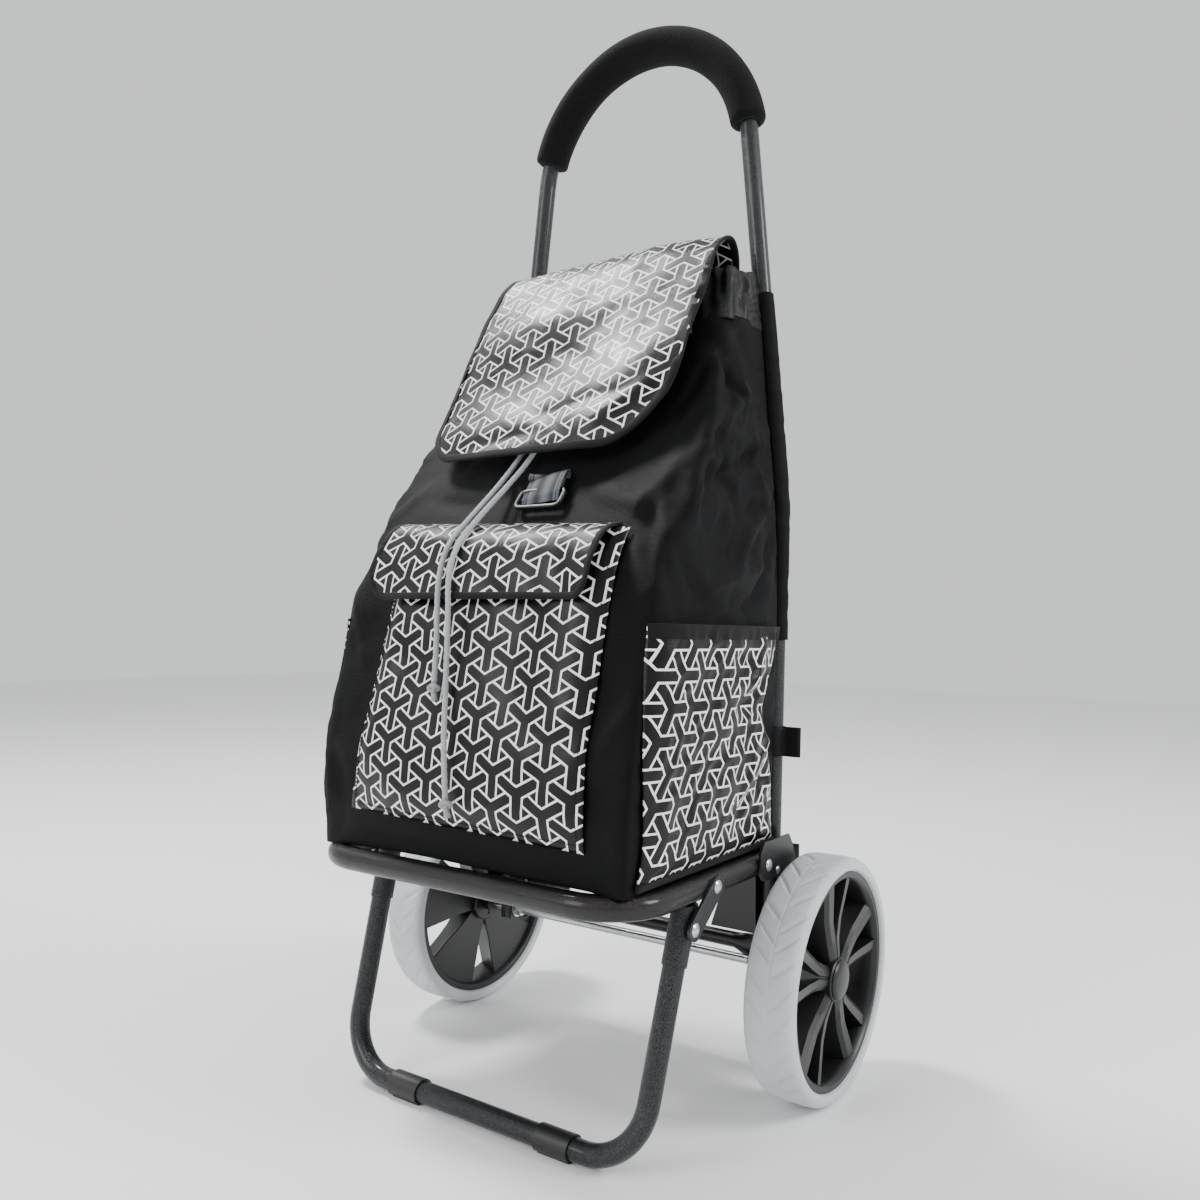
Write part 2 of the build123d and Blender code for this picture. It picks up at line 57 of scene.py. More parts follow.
def linear(code):
    """Turns an sRGB hex colour into the linear RGBA that the shaders use."""
    srgb = np.array([int(code[k:k + 2], 16) / 255 for k in (1, 3, 5)])
    value = np.where(srgb <= 0.04045, srgb / 12.92, ((srgb + 0.055) / 1.055) ** 2.4)
    return (*value.tolist(), 1.0)


def metres(points):
    """Millimetres from the axle's centre line on the floor, as metres in the trolley's frame."""
    return np.asarray(points, float) / 1000 + np.array([0, AXLE_Y, 0])


def material(name, colour, roughness, metallic=0.0, gloss=0.5):
    """A new material with one Principled shader: returns it, its node tree and the shader. Gloss is the
    specular level: 0.5 for smooth plastics and coats, less for fibres that trap light between them."""
    made = bpy.data.materials.new(name)
    made.use_nodes = True
    shader = made.node_tree.nodes["Principled BSDF"]
    shader.inputs["Base Color"].default_value = linear(colour)
    shader.inputs["Roughness"].default_value = roughness
    shader.inputs["Metallic"].default_value = metallic
    shader.inputs["Specular IOR Level"].default_value = gloss
    return made, made.node_tree, shader


def add(tree, kind, settings=None, inputs=None):
    """Adds one node, sets its own properties, and sets or links its inputs by name or number."""
    made = tree.nodes.new(kind)
    for key, value in (settings or {}).items():
        setattr(made, key, value)
    for key, value in (inputs or {}).items():
        if isinstance(value, bpy.types.NodeSocket):
            tree.links.new(value, made.inputs[key])
        else:
            made.inputs[key].default_value = value
    return made


floor_mesh = bpy.data.meshes.new("studio_floor")
floor_mesh.from_pydata([(-6, -6, 0), (6, -6, 0), (6, 6, 0), (-6, 6, 0)], [], [(0, 1, 2, 3)])
studio_floor = bpy.data.objects.new("studio_floor", floor_mesh)
bpy.context.scene.collection.objects.link(studio_floor)
floor_paint, _, _ = material("pale_floor_paint", "#f4f4f4", 0.9)
floor_mesh.materials.append(floor_paint)

world = bpy.data.worlds.new("studio_air")
world.use_nodes = True
world.node_tree.nodes["Background"].inputs["Color"].default_value = linear("#f7f9fb")
world.node_tree.nodes["Background"].inputs["Strength"].default_value = 0.95
bpy.context.scene.world = world


def softbox(name, position, target, size, power):
    """A square area light at one point, turned to face another, both in metres."""
    lamp = bpy.data.lights.new(name, "AREA")
    lamp.shape = "SQUARE"
    lamp.size = size
    lamp.energy = power
    made = bpy.data.objects.new(name, lamp)
    bpy.context.scene.collection.objects.link(made)
    made.location = position
    away = Vector(position) - Vector(target)
    made.rotation_euler = away.to_track_quat("Z", "Y").to_euler()


softbox("key_light", (-1.44, -0.05, 2.55), (0, -0.05, 0.62), 0.50, 66)
softbox("front_fill", (-0.9, -2.3, 1.5), (0, 0, 0.45), 1.2, 34)
softbox("side_fill", (2.3, 0.5, 1.7), (0.1, 0, 0.4), 0.8, 52)

CAMERA_SPOT = (528.94, -765.55, 392.45)
CAMERA_YAW, CAMERA_PITCH, CAMERA_ROLL = (math.radians(a) for a in (32.44, -1.77, 1.11))
look = np.array([-math.sin(CAMERA_YAW) * math.cos(CAMERA_PITCH),
                 math.cos(CAMERA_YAW) * math.cos(CAMERA_PITCH), math.sin(CAMERA_PITCH)])
level_right = np.array([math.cos(CAMERA_YAW), math.sin(CAMERA_YAW), 0])
level_up = np.cross(level_right, look)
right = math.cos(CAMERA_ROLL) * level_right + math.sin(CAMERA_ROLL) * level_up
up = math.cos(CAMERA_ROLL) * level_up - math.sin(CAMERA_ROLL) * level_right
lens = bpy.data.cameras.new("studio_camera")
lens.sensor_width = 36.0
lens.lens = 29.475
lens.shift_x = -0.0589
lens.shift_y = 0.0499
camera = bpy.data.objects.new("studio_camera", lens)
bpy.context.scene.collection.objects.link(camera)
pose = np.eye(4)
pose[:3, 0], pose[:3, 1], pose[:3, 2] = right, up, -look
pose[:3, 3] = metres(CAMERA_SPOT)
camera.matrix_world = Matrix(pose.tolist())
bpy.context.scene.camera = camera

# ---- drawstring ends ----
# Braided polyester cord, 4.4 mm across. Each end leaves an eyelet in the collar, runs down between the lid
# and the bag, hangs over the front pocket and is tied in an overhand knot.

CORD_D = 4.4
LEFT_CORD = [(-6, -64.6, 672), (-6, -72, 669), (-6.5, -78, 655), (-8, -91, 628), (-11, -108, 593),
             (-15, -126, 558), (-20, -146, 527), (-22, -167, 504), (-26, -190, 480), (-31, -212, 456),
             (-27, -225, 430), (-25, -228, 402), (-24, -229, 375), (-21, -234, 348)]
RIGHT_CORD = [(8, -64.6, 672), (8, -72, 669), (7.5, -78, 655), (5, -91, 628), (1, -108, 593),
              (-3, -126, 558), (-7, -146, 527), (-12, -169, 502), (-17, -192, 478), (-21, -213, 454),
              (-16, -226, 429), (-11, -230, 402), (-11, -231, 372), (-8, -235, 337), (-1, -243.5, 300),
              (6, -247.5, 264)]
BACK_Y = -13.6


def spline_points(route, name):
    """Points along the smooth line of a route: a NURBS spline of order 3 through the route's frame."""
    curve = bpy.data.curves.new(name, "CURVE")
    curve.dimensions = "3D"
    curve.resolution_u = 44
    spline = curve.splines.new("NURBS")
    spline.points.add(len(route) - 1)
    spots = np.c_[metres(route), np.ones(len(route))]
    spline.points.foreach_set("co", spots.ravel())
    spline.order_u = 3
    spline.use_endpoint_u = True
    holder = bpy.data.objects.new(name, curve)
    bpy.context.scene.collection.objects.link(holder)
    line = bpy.data.meshes.new_from_object(holder)
    found = np.zeros(len(line.vertices) * 3)
    line.vertices.foreach_get("co", found)
    bpy.data.objects.remove(holder)
    bpy.data.meshes.remove(line)
    return found.reshape(-1, 3)


def grid(points, wrap=(False, False), caps=(False, False), uv=None):
    """Quads over a grid of points, closed round either way, with the two open ends capped if asked.
    Returns the points, the faces and each face corner's place on the flat material."""
    points = np.asarray(points, float)
    rows, cols = points.shape[:2]
    index = np.arange(rows * cols).reshape(rows, cols)
    span = [np.arange(n + 1) if w else np.arange(n) for n, w in zip((rows, cols), wrap)]
    if uv is None:
        uv = np.stack(np.meshgrid(span[0] / rows, span[1] / cols, indexing="ij"), -1)
    a, b = np.meshgrid(span[0][:-1], span[1][:-1], indexing="ij")
    steps = ((0, 0), (1, 0), (1, 1), (0, 1))
    faces = np.stack([index[(a + i) % rows, (b + j) % cols] for i, j in steps], -1).reshape(-1, 4)
    corners = np.stack([uv[a + i, b + j] for i, j in steps], -2).reshape(-1, 2)
    faces = faces.tolist()
    ends = (index[:, 0][::-1], index[:, -1]) if wrap[0] else (index[0], index[-1][::-1])
    for closed, end in zip(caps, ends):
        if closed:
            faces.append(end.tolist())
            corners = np.r_[corners, np.zeros((len(end), 2))]
    return points.reshape(-1, 3), faces, corners


def piece(name, finish, *grids, smooth=True):
    """One object from one or more grids, with its points in the trolley's frame."""
    spots, faces, corners, offset = [], [], [], 0
    for points, polygons, flat in grids:
        spots.append(points)
        faces += [[k + offset for k in polygon] for polygon in polygons]
        corners.append(flat)
        offset += len(points)
    mesh = bpy.data.meshes.new(name)
    mesh.from_pydata(metres(np.concatenate(spots)).tolist(), [], faces)
    layer = mesh.uv_layers.new(name="flat_cloth")
    layer.data.foreach_set("uv", np.concatenate(corners).ravel())
    mesh.polygons.foreach_set("use_smooth", [smooth] * len(faces))
    mesh.materials.append(finish)
    made = bpy.data.objects.new(name, mesh)
    bpy.context.scene.collection.objects.link(made)
    return made


def carried(path, profile, side):
    """Carries a closed profile along a path. Each profile point is its distance to the side and across
    the path; side is a fixed direction or one for each path point. Points are (profile, path)."""
    path = np.asarray(path, float)
    tangent = np.gradient(path, axis=0)
    tangent /= np.linalg.norm(tangent, axis=1, keepdims=True)
    side = np.broadcast_to(np.asarray(side, float), path.shape)
    side = side - (side * tangent).sum(1, keepdims=True) * tangent
    side = side / np.linalg.norm(side, axis=1, keepdims=True)
    across = np.cross(tangent, side)
    a, b = profile[..., 0:1], profile[..., 1:2]
    if profile.ndim == 2:
        a, b = a[:, None], b[:, None]
    return path + a * side + b * across


def circle(radius, sides):
    """Evenly spaced points of a circle, anticlockwise."""
    turn = np.arange(sides) * 2 * math.pi / sides
    return np.stack([radius * np.cos(turn), radius * np.sin(turn)], -1)


def lengths(path):
    """Distance travelled along a path at each of its points."""
    return np.r_[0, np.cumsum(np.linalg.norm(np.diff(path, axis=0), axis=1))]


def in_mm(points):
    """Metres in the trolley's frame, back to millimetres from the axle."""
    return (points - np.array([0, AXLE_Y, 0])) * 1000


def cord_braid():
    """Braided polyester: pale grey, with the diagonal plaits of a sixteen-strand cover. The plaits are also painted
    into the colour: painted shade in the grooves between them and a painted highlight on their crowns.
    """
    made, tree, shader = material("braided_polyester_cord", "#a9adb0", 0.75)
    place = add(tree, "ShaderNodeUVMap", {"uv_map": "flat_cloth"})
    plait = [add(tree, "ShaderNodeMapping", None, {"Vector": place.outputs[0], "Rotation": (0, 0, turn)})
             for turn in (0.9, -0.9)]
    bands = [add(tree, "ShaderNodeTexWave", {"bands_direction": "X"},
                 {"Vector": m.outputs[0], "Scale": 420.0, "Distortion": 0.0}) for m in plait]
    lift = add(tree, "ShaderNodeMath", {"operation": "MAXIMUM"}, {0: bands[0].outputs[1], 1: bands[1].outputs[1]})
    # Painted shade and highlight: the tone follows the plait height, dark in the grooves and light on the crowns.
    tone = add(tree, "ShaderNodeMix", {"data_type": "RGBA"},
               {0: lift.outputs[0], 6: linear("#6d7073"), 7: linear("#c3c6c8")})
    tree.links.new(tone.outputs[2], shader.inputs["Base Color"])
    bump = add(tree, "ShaderNodeBump", None, {"Height": lift.outputs[0], "Distance": 0.0004, "Strength": 0.8})
    tree.links.new(bump.outputs[0], shader.inputs["Normal"])
    shader.inputs["Sheen Weight"].default_value = 0.3
    return made


def round_knot(centre, along, radius):
    """Overhand knot: a trefoil of cord pulled tight, carried round as a tube."""
    turn = np.linspace(0, 2 * math.pi, 73)[:-1]
    loop = np.stack([np.sin(turn) + 2 * np.sin(2 * turn), np.cos(turn) - 2 * np.cos(2 * turn),
                     -1.6 * np.sin(3 * turn)], -1) * radius / 4.1
    closed = np.r_[loop, loop[:1]]
    ring = carried(closed, circle(CORD_D * 0.40, 10), np.array([0.31, 0.27, 0.9]))[:, :-1]
    laid = np.stack([ring[..., 0], -ring[..., 2], ring[..., 1]], -1)
    return grid(laid + centre + along * radius * 0.75, (True, True))


braid = cord_braid()
for name, route in (("left", LEFT_CORD), ("right", RIGHT_CORD)):
    line = in_mm(spline_points(route, "drawstring_line"))
    along = (line[-1] - line[-2]) / np.linalg.norm(line[-1] - line[-2])
    travelled = lengths(line)
    turn = (np.arange(20) * 2 * math.pi / 20)[:, None]
    plait = np.maximum(np.cos(4 * turn + travelled * 1.15), np.cos(4 * turn - travelled * 1.15))
    ring = circle(1.0, 20)[:, None] * (CORD_D / 2 - 0.22 + 0.24 * plait)[..., None]
    flat = np.stack(np.meshgrid(np.arange(21) / 20 * math.pi * CORD_D, travelled, indexing="ij"), -1) / 1000
    body = piece(f"drawstring_cord_{name}", braid,
                 grid(carried(line, ring, (1, 0, 0)), (True, False), (True, True), flat))
    drift = np.array([0.25, 0.1, 0]) * np.arange(5)[:, None]
    tail = line[-1] + along * np.linspace(5, 13, 5)[:, None] + drift
    frayed = carried(tail, circle(1.0, 10)[:, None] * np.linspace(1.9, 2.6, 5)[None, :, None], (1, 0, 0))
    knot = piece(f"overhand_knot_{name}", braid, round_knot(line[-1], along, 5.0),
                 grid(frayed, (True, False), (True, True)))
    for made, node in ((body, f"drawstring_{name}"), (knot, f"cord_knot_{name}")):
        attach(made, "bag_front")
        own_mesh(made)
        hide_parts(node)

# ---- bag body ----
# The shell is black 600-denier polyester, cut with a deep front and sewn with seams at its four upright
# corners. It stands on the base board, bulges between its seams and creases where it is drawn in at the top.

BAG_FLOOR = 211.0
BAG_LEVELS = np.array([(BAG_FLOOR, -228, 154, 9), (250, -231, 156.5, 11), (300, -228, 158.5, 12),
                       (345, -217, 159, 14), (413, -203, 159, 18), (443, -193, 158, 20), (476, -174, 156, 22),
                       (508, -151, 153, 24), (573, -107, 146, 26), (629, -77, 134, 26), (650, -67, 128, 24),
                       (672, -58, 118, 20), (696, -50, 113, 16)], float)


def section(z, spread=9.0):
    """Front depth, half width and corner radius at a height: the cutting levels, joined and rounded off."""
    near = np.linspace(-spread, spread, 7)
    return [np.mean([np.interp(z + d, BAG_LEVELS[:, 0], column) for d in near], 0) for column in BAG_LEVELS.T[1:]]


def outline(front, half, corner, back=BACK_Y, counts=(44, 8, 64)):
    """A rounded rectangle for each height, anticlockwise from above: straight runs of set counts joined by
    quarter circles. Returns the points (place, height, xy) and their outward directions."""
    side_n, corner_n, front_n = counts
    rear = np.full_like(front, 6.0)
    quarter = np.linspace(0, math.pi / 2, corner_n + 1)[:-1, None]
    run = lambda n: (np.arange(n) / n)[:, None]
    spots, facing = [], []
    for start, end, turn, centre, radius in (
            ((half, front + corner), (half, back - rear), 0, (half - rear, back - rear), rear),
            ((half - rear, back + 0 * front), (rear - half, back + 0 * front), 1, (rear - half, back - rear), rear),
            ((-half, back - rear), (-half, front + corner), 2, (corner - half, front + corner), corner),
            ((corner - half, front), (half - corner, front), 3, (half - corner, front + corner), corner)):
        share = run(front_n if turn % 2 else side_n)
        straight = [a + (b - a) * share for a, b in zip(start, end)]
        angle = quarter + turn * math.pi / 2
        bend = [c + radius * f(angle) for c, f in zip(centre, (np.cos, np.sin))]
        spots += [np.stack(straight, -1), np.stack(bend, -1)]
        flat = np.broadcast_to([math.cos(turn * math.pi / 2), math.sin(turn * math.pi / 2)], spots[-2].shape)
        around = np.broadcast_to(np.concatenate([np.cos(angle), np.sin(angle)], -1)[:, None], spots[-1].shape)
        facing += [flat, around]
    return np.concatenate(spots), np.concatenate(facing)


def spread_to_frame(spots, z):
    """Pulls the back half of the bag's upper sides out to the handle tubes, where its back is sewn to them."""
    wanted = np.interp(z, (503, 540, 600, 650, 696), (150, 147, 141, 136, 130))
    lack = np.clip(wanted - np.abs(spots[..., 0]), 0, 40) * ramp(spots[..., 1], -74, -16) * ramp(z, 500, 560)
    pull = np.sign(spots[..., 0]) * lack * ramp(np.abs(spots[..., 0]), 60, 116)
    return spots + np.stack([pull, 0 * pull], -1)


def crease(a, b, start, end, width, depth):
    """A soft fold: a bell curve across the line from start to end, which fades out towards both ends."""
    run = np.subtract(end, start).astype(float)
    along = ((a - start[0]) * run[0] + (b - start[1]) * run[1]) / (run @ run)
    away = ((a - start[0]) * run[1] - (b - start[1]) * run[0]) / math.sqrt(run @ run)
    fade = np.clip(np.minimum(along, 1 - along) * 3.2, 0, 1)
    return depth * np.exp(-(away / width) ** 2) * fade * fade * (3 - 2 * fade)


def ripple(a, b, seed, size, depth, sharp=0.0):
    """Uneven waves of one size: twelve plane waves in seeded directions, added up. Sharp ones are folded
    at their zero line, which turns their hollows into ridges."""
    draw = np.random.default_rng(seed)
    total = 0
    for heading, phase, pitch in zip(draw.uniform(0, math.pi, 12), draw.uniform(0, 6.3, 12),
                                     draw.uniform(0.7, 1.5, 12)):
        wave = 2 * math.pi / (size * pitch)
        total = total + np.cos(a * wave * math.cos(heading) + b * wave * math.sin(heading) + phase)
    total = total / 2.45
    return depth * ((1 - sharp) * total + sharp * (0.8 - np.abs(total)))


def ramp(value, low, high):
    """0 below low, 1 above high, and a smooth step between."""
    share = np.clip((value - low) / (high - low), 0, 1)
    return share * share * (3 - 2 * share)


SIDE_FOLDS = [((-212, 560), (-176, 392), 7, -5.0), ((-66, 650), (-176, 440), 8, 7.0),
              ((-44, 640), (-150, 470), 6, -6.0), ((-30, 600), (-128, 540), 7, 6.5),
              ((-20, 545), (-150, 492), 8, -7.0), ((-18, 520), (-110, 430), 7, 7.0),
              ((-16, 452), (-168, 418), 9, 6.0), ((-108, 668), (-96, 570), 5, 6.0),
              ((-84, 668), (-62, 560), 5, -6.0), ((-18, 664), (-96, 612), 7, 6.5),
              ((-18, 486), (-66, 410), 6, -5.0), ((-132, 612), (-112, 492), 6, 5.0),
              ((-60, 656), (-18, 580), 6, -6.0), ((-196, 480), (-140, 404), 7, -4.0),
              ((-30, 430), (-96, 404), 6, -4.5), ((-104, 560), (-86, 470), 5, -4.0),
              ((-46, 560), (-40, 500), 5, 4.0)]
FRONT_FOLDS = [((-152, 470), (-112, 520), 6, 3.5), ((-150, 430), (-118, 350), 7, 3.0),
               ((152, 420), (122, 506), 7, -4.5), ((148, 532), (112, 470), 7, 4.5),
               ((56, 504), (146, 478), 8, 4.5), ((-110, 500), (-30, 488), 6, -3.0),
               ((154, 350), (124, 300), 7, 3.0), ((-60, 515), (20, 500), 5, 3.0),
               ((140, 650), (112, 540), 7, -5.0), ((126, 656), (142, 560), 5, 5.0),
               ((-128, 645), (-138, 560), 6, 4.0), ((128, 600), (150, 500), 6, -4.0),
               ((-150, 300), (-122, 240), 8, -2.5)]


def side_bulge(y, z):
    """How far goods push the bag's sides out: a dome across the depth, fading towards floor and neck."""
    return 2.6 * np.clip(1 - ((y + 110) / 90) ** 2, 0, 1) * ramp(z, BAG_FLOOR, 300) * (1 - ramp(z, 400, 640))


def bag_surface(z, counts, lumps=1.0):
    """The bag's outline at each height, pushed outwards by its folds, bulges and corner seams."""
    front, half, corner = section(z)
    spots, facing = outline(front, half, corner, counts=counts)
    x, y = spots[..., 0], spots[..., 1]
    level = np.broadcast_to(z, x.shape)
    sideways, forwards = ramp(np.abs(facing[..., 0]), 0.3, 0.95), ramp(-facing[..., 1], 0.3, 0.95)
    fold = sum(crease(y, level, *f) for f in SIDE_FOLDS) * sideways * lumps
    fold = fold + sum(crease(x, level, *f) for f in FRONT_FOLDS) * forwards * lumps
    loose = ramp(level, 400, 560)
    fold = fold + (ripple(y, level, 7, 46, 1.6, 0.75) * (0.4 + 1.2 * loose)
                   + ripple(y + x, level, 12, 18, 0.55, 0.85) * (0.5 + loose)) * sideways
    fold = fold + (ripple(x, level, 21, 60, 0.9, 0.4) + ripple(x, level, 5, 20, 0.3, 0.8)) * forwards
    seam = np.exp(-((np.abs(facing[..., 0]) - 0.72) / 0.22) ** 2) * (facing[..., 1] < -0.1)
    bulge = sideways * side_bulge(y, level)
    beside_pocket = np.maximum(ramp(np.abs(x), 98, 124), ramp(level, 462, 492))
    hold = ramp(level, BAG_FLOOR, BAG_FLOOR + 21) * np.where(forwards > 0, beside_pocket, 1)
    push = (fold * hold + bulge) * (1 - ramp(facing[..., 1], 0.2, 0.9)) + 1.3 * seam
    push = np.where(facing[..., 1] > 0.5, 0, push)
    moved = spread_to_frame(spots + facing * push[..., None], level)
    return np.concatenate([moved, level[..., None]], -1), facing


def polyester(name="woven_polyester_600_denier", colour="#030304", roughness=0.55, gloss=0.10):
    """Coated black polyester: a plain weave of 0.9 mm ribs, drawn a little coarse so that it shows, with a soft
    sheen and faint lighter threads."""
    made, tree, shader = material(name, colour, roughness, 0.0, gloss)
    place = add(tree, "ShaderNodeTexCoord")
    ribs = [add(tree, "ShaderNodeTexWave", {"bands_direction": axis, "wave_profile": "SIN"},
                {"Vector": place.outputs["Object"], "Scale": 350.0}) for axis in ("X", "Y", "Z")]
    weave = add(tree, "ShaderNodeMath", {"operation": "MULTIPLY"}, {0: ribs[0].outputs[1], 1: ribs[2].outputs[1]})
    side = add(tree, "ShaderNodeMath", {"operation": "MULTIPLY"}, {0: ribs[1].outputs[1], 1: ribs[2].outputs[1]})
    both = add(tree, "ShaderNodeMath", {"operation": "ADD"}, {0: weave.outputs[0], 1: side.outputs[0]})
    cloud = add(tree, "ShaderNodeTexNoise", None, {"Vector": place.outputs["Object"], "Scale": 34.0, "Detail": 6.0})
    rub = add(tree, "ShaderNodeMapRange", None, {0: cloud.outputs[0], 1: 0.35, 2: 0.75, 3: 0.0, 4: 0.55})
    thread = add(tree, "ShaderNodeMath", {"operation": "MULTIPLY_ADD"},
                 {0: both.outputs[0], 1: 0.22, 2: rub.outputs[0]})
    tone = add(tree, "ShaderNodeMix", {"data_type": "RGBA"},
               {0: thread.outputs[0], 6: linear(colour), 7: linear("#0a0b0d")})
    tree.links.new(tone.outputs[2], shader.inputs["Base Color"])
    fine = add(tree, "ShaderNodeBump", None, {"Height": both.outputs[0], "Distance": 0.0003, "Strength": 0.5})
    crush = add(tree, "ShaderNodeTexNoise", {"noise_type": "RIDGED_MULTIFRACTAL"},
                {"Vector": place.outputs["Object"], "Scale": 26.0, "Detail": 3.0})
    soft = add(tree, "ShaderNodeBump", None, {"Height": crush.outputs[0], "Distance": 0.0014, "Strength": 0.28,
                                              "Normal": fine.outputs[0]})
    tree.links.new(soft.outputs[0], shader.inputs["Normal"])
    shader.inputs["Sheen Weight"].default_value = 0.008
    shader.inputs["Sheen Roughness"].default_value = 0.4
    return made


def thicken(made, depth, offset=-1.0):
    """Gives an open cloth surface its thickness, inwards from its outer face."""
    solid = made.modifiers.new("cloth_thickness", "SOLIDIFY")
    solid.thickness = depth / 1000
    solid.offset = offset
    return made


def soft(made, body, slot, *nodes):
    """A bag piece: it rides a body, gets a mesh of its own, and the CAD parts it replaces are hidden."""
    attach(made, body)
    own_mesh(made)
    if nodes:
        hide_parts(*nodes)
    return made


black_cloth = polyester()
body_levels = np.r_[np.linspace(BAG_FLOOR, 222, 6), np.linspace(226, 652, 118)]
body_points, _ = bag_surface(body_levels, (44, 8, 64))
body_x, body_y = body_points[..., 0], body_points[..., 1]
# The hem rides up a little in the middle of the front, and rests on the platform tube at both sides.
hem_lift = 2.0 * np.exp(-((body_x + 30) / 70) ** 2) * (body_y < -200) - 1.9 * ramp(np.abs(body_x), 120, 150)
body_points[..., 2] += (1 - ramp(body_levels, BAG_FLOOR, BAG_FLOOR + 13)) * hem_lift
floor_share = np.linspace(1, 0.02, 14)[:-1]
lowest = body_points[:, 0]
middle = np.array([0, -120, BAG_FLOOR])
bottom = middle + (lowest - middle)[:, None] * floor_share[::-1][None, :, None]
shell = np.concatenate([bottom, body_points[:, 1:]], 1)
bag = thicken(piece("bag_body_cloth", black_cloth, grid(shell, (True, False), (True, False))), 1.0)
soft(bag, "frame", "black_polyester", "bag_body")

# ---- drawstring collar ----
# A thinner, shinier black nylon neck, sewn to the top of the bag and gathered by a cord in its hem, so that
# it bunches into deep pleats and stands out in lumps at the sides of the lid.

shiny_nylon = polyester("ripstop_nylon_collar", "#030304", 0.30, 0.3)
neck_levels = np.r_[np.linspace(648, 692, 20), 694, 695.5, 696, 695.5, 694, 692, 689]
front, half, corner = section(neck_levels)
ring, facing = outline(front, half, corner, counts=(60, 14, 96))
around = (lengths(ring[:, 0]) * 2 * math.pi / (lengths(ring[:, 0])[-1] + 2.5))[:, None]
gather = ramp(neck_levels, 645, 690)[None]
pleat = np.sin(26 * around + 1.7 * np.sin(7 * around))
pleat = pleat + 0.5 * np.sin(61 * around + 2 * np.sin(9 * around) + neck_levels / 9)
depth = (1.2 + 4.6 * gather) * (1 - 0.75 * ramp(facing[..., 1], 0.3, 0.9))
push = depth * pleat * 0.8 + ripple(ring[..., 0] + ring[..., 1], neck_levels, 3, 16, 1.0, 0.7)
for side, spot, size, lift in ((1, (-38, 684), 15, 15), (1, (-62, 664), 13, 10), (1, (-28, 660), 11, 9),
                               (-1, (-40, 680), 15, 9), (-1, (-66, 662), 12, 7)):
    near = ((ring[..., 1] - spot[0]) ** 2 + (neck_levels - spot[1]) ** 2) / size ** 2
    push = push + lift * np.exp(-near) * ramp(side * facing[..., 0], 0.2, 0.9)
push = np.where(facing[..., 1] > 0.5, np.minimum(push, 0), push)
drawn = np.r_[np.zeros(20), 0.5, 1.8, 4, 7, 11, 16, 22]
neck = spread_to_frame(ring + facing * (push - drawn)[..., None], np.minimum(neck_levels, 696) + 0 * push)
neck = np.concatenate([neck, np.broadcast_to(neck_levels, neck.shape[:2])[..., None]], -1)
neck[..., 2] += gather * ripple(ring[..., 0] - ring[..., 1], neck_levels, 9, 30, 1.0)
collar = thicken(piece("gathered_collar", shiny_nylon, grid(neck, (True, False))), 0.8)
soft(collar, "frame", "black_polyester", "drawstring_collar")

# ---- front pocket ----
# Printed polyester under a glossy clear coat: black three-armed figures outlined in off-white, on a lattice
# of 26 mm. The pocket is sewn flat to the bag's front near its raw edges and stands forward between them.

PITCH, ARM, LINE = 0.026, 0.0037, 0.0016


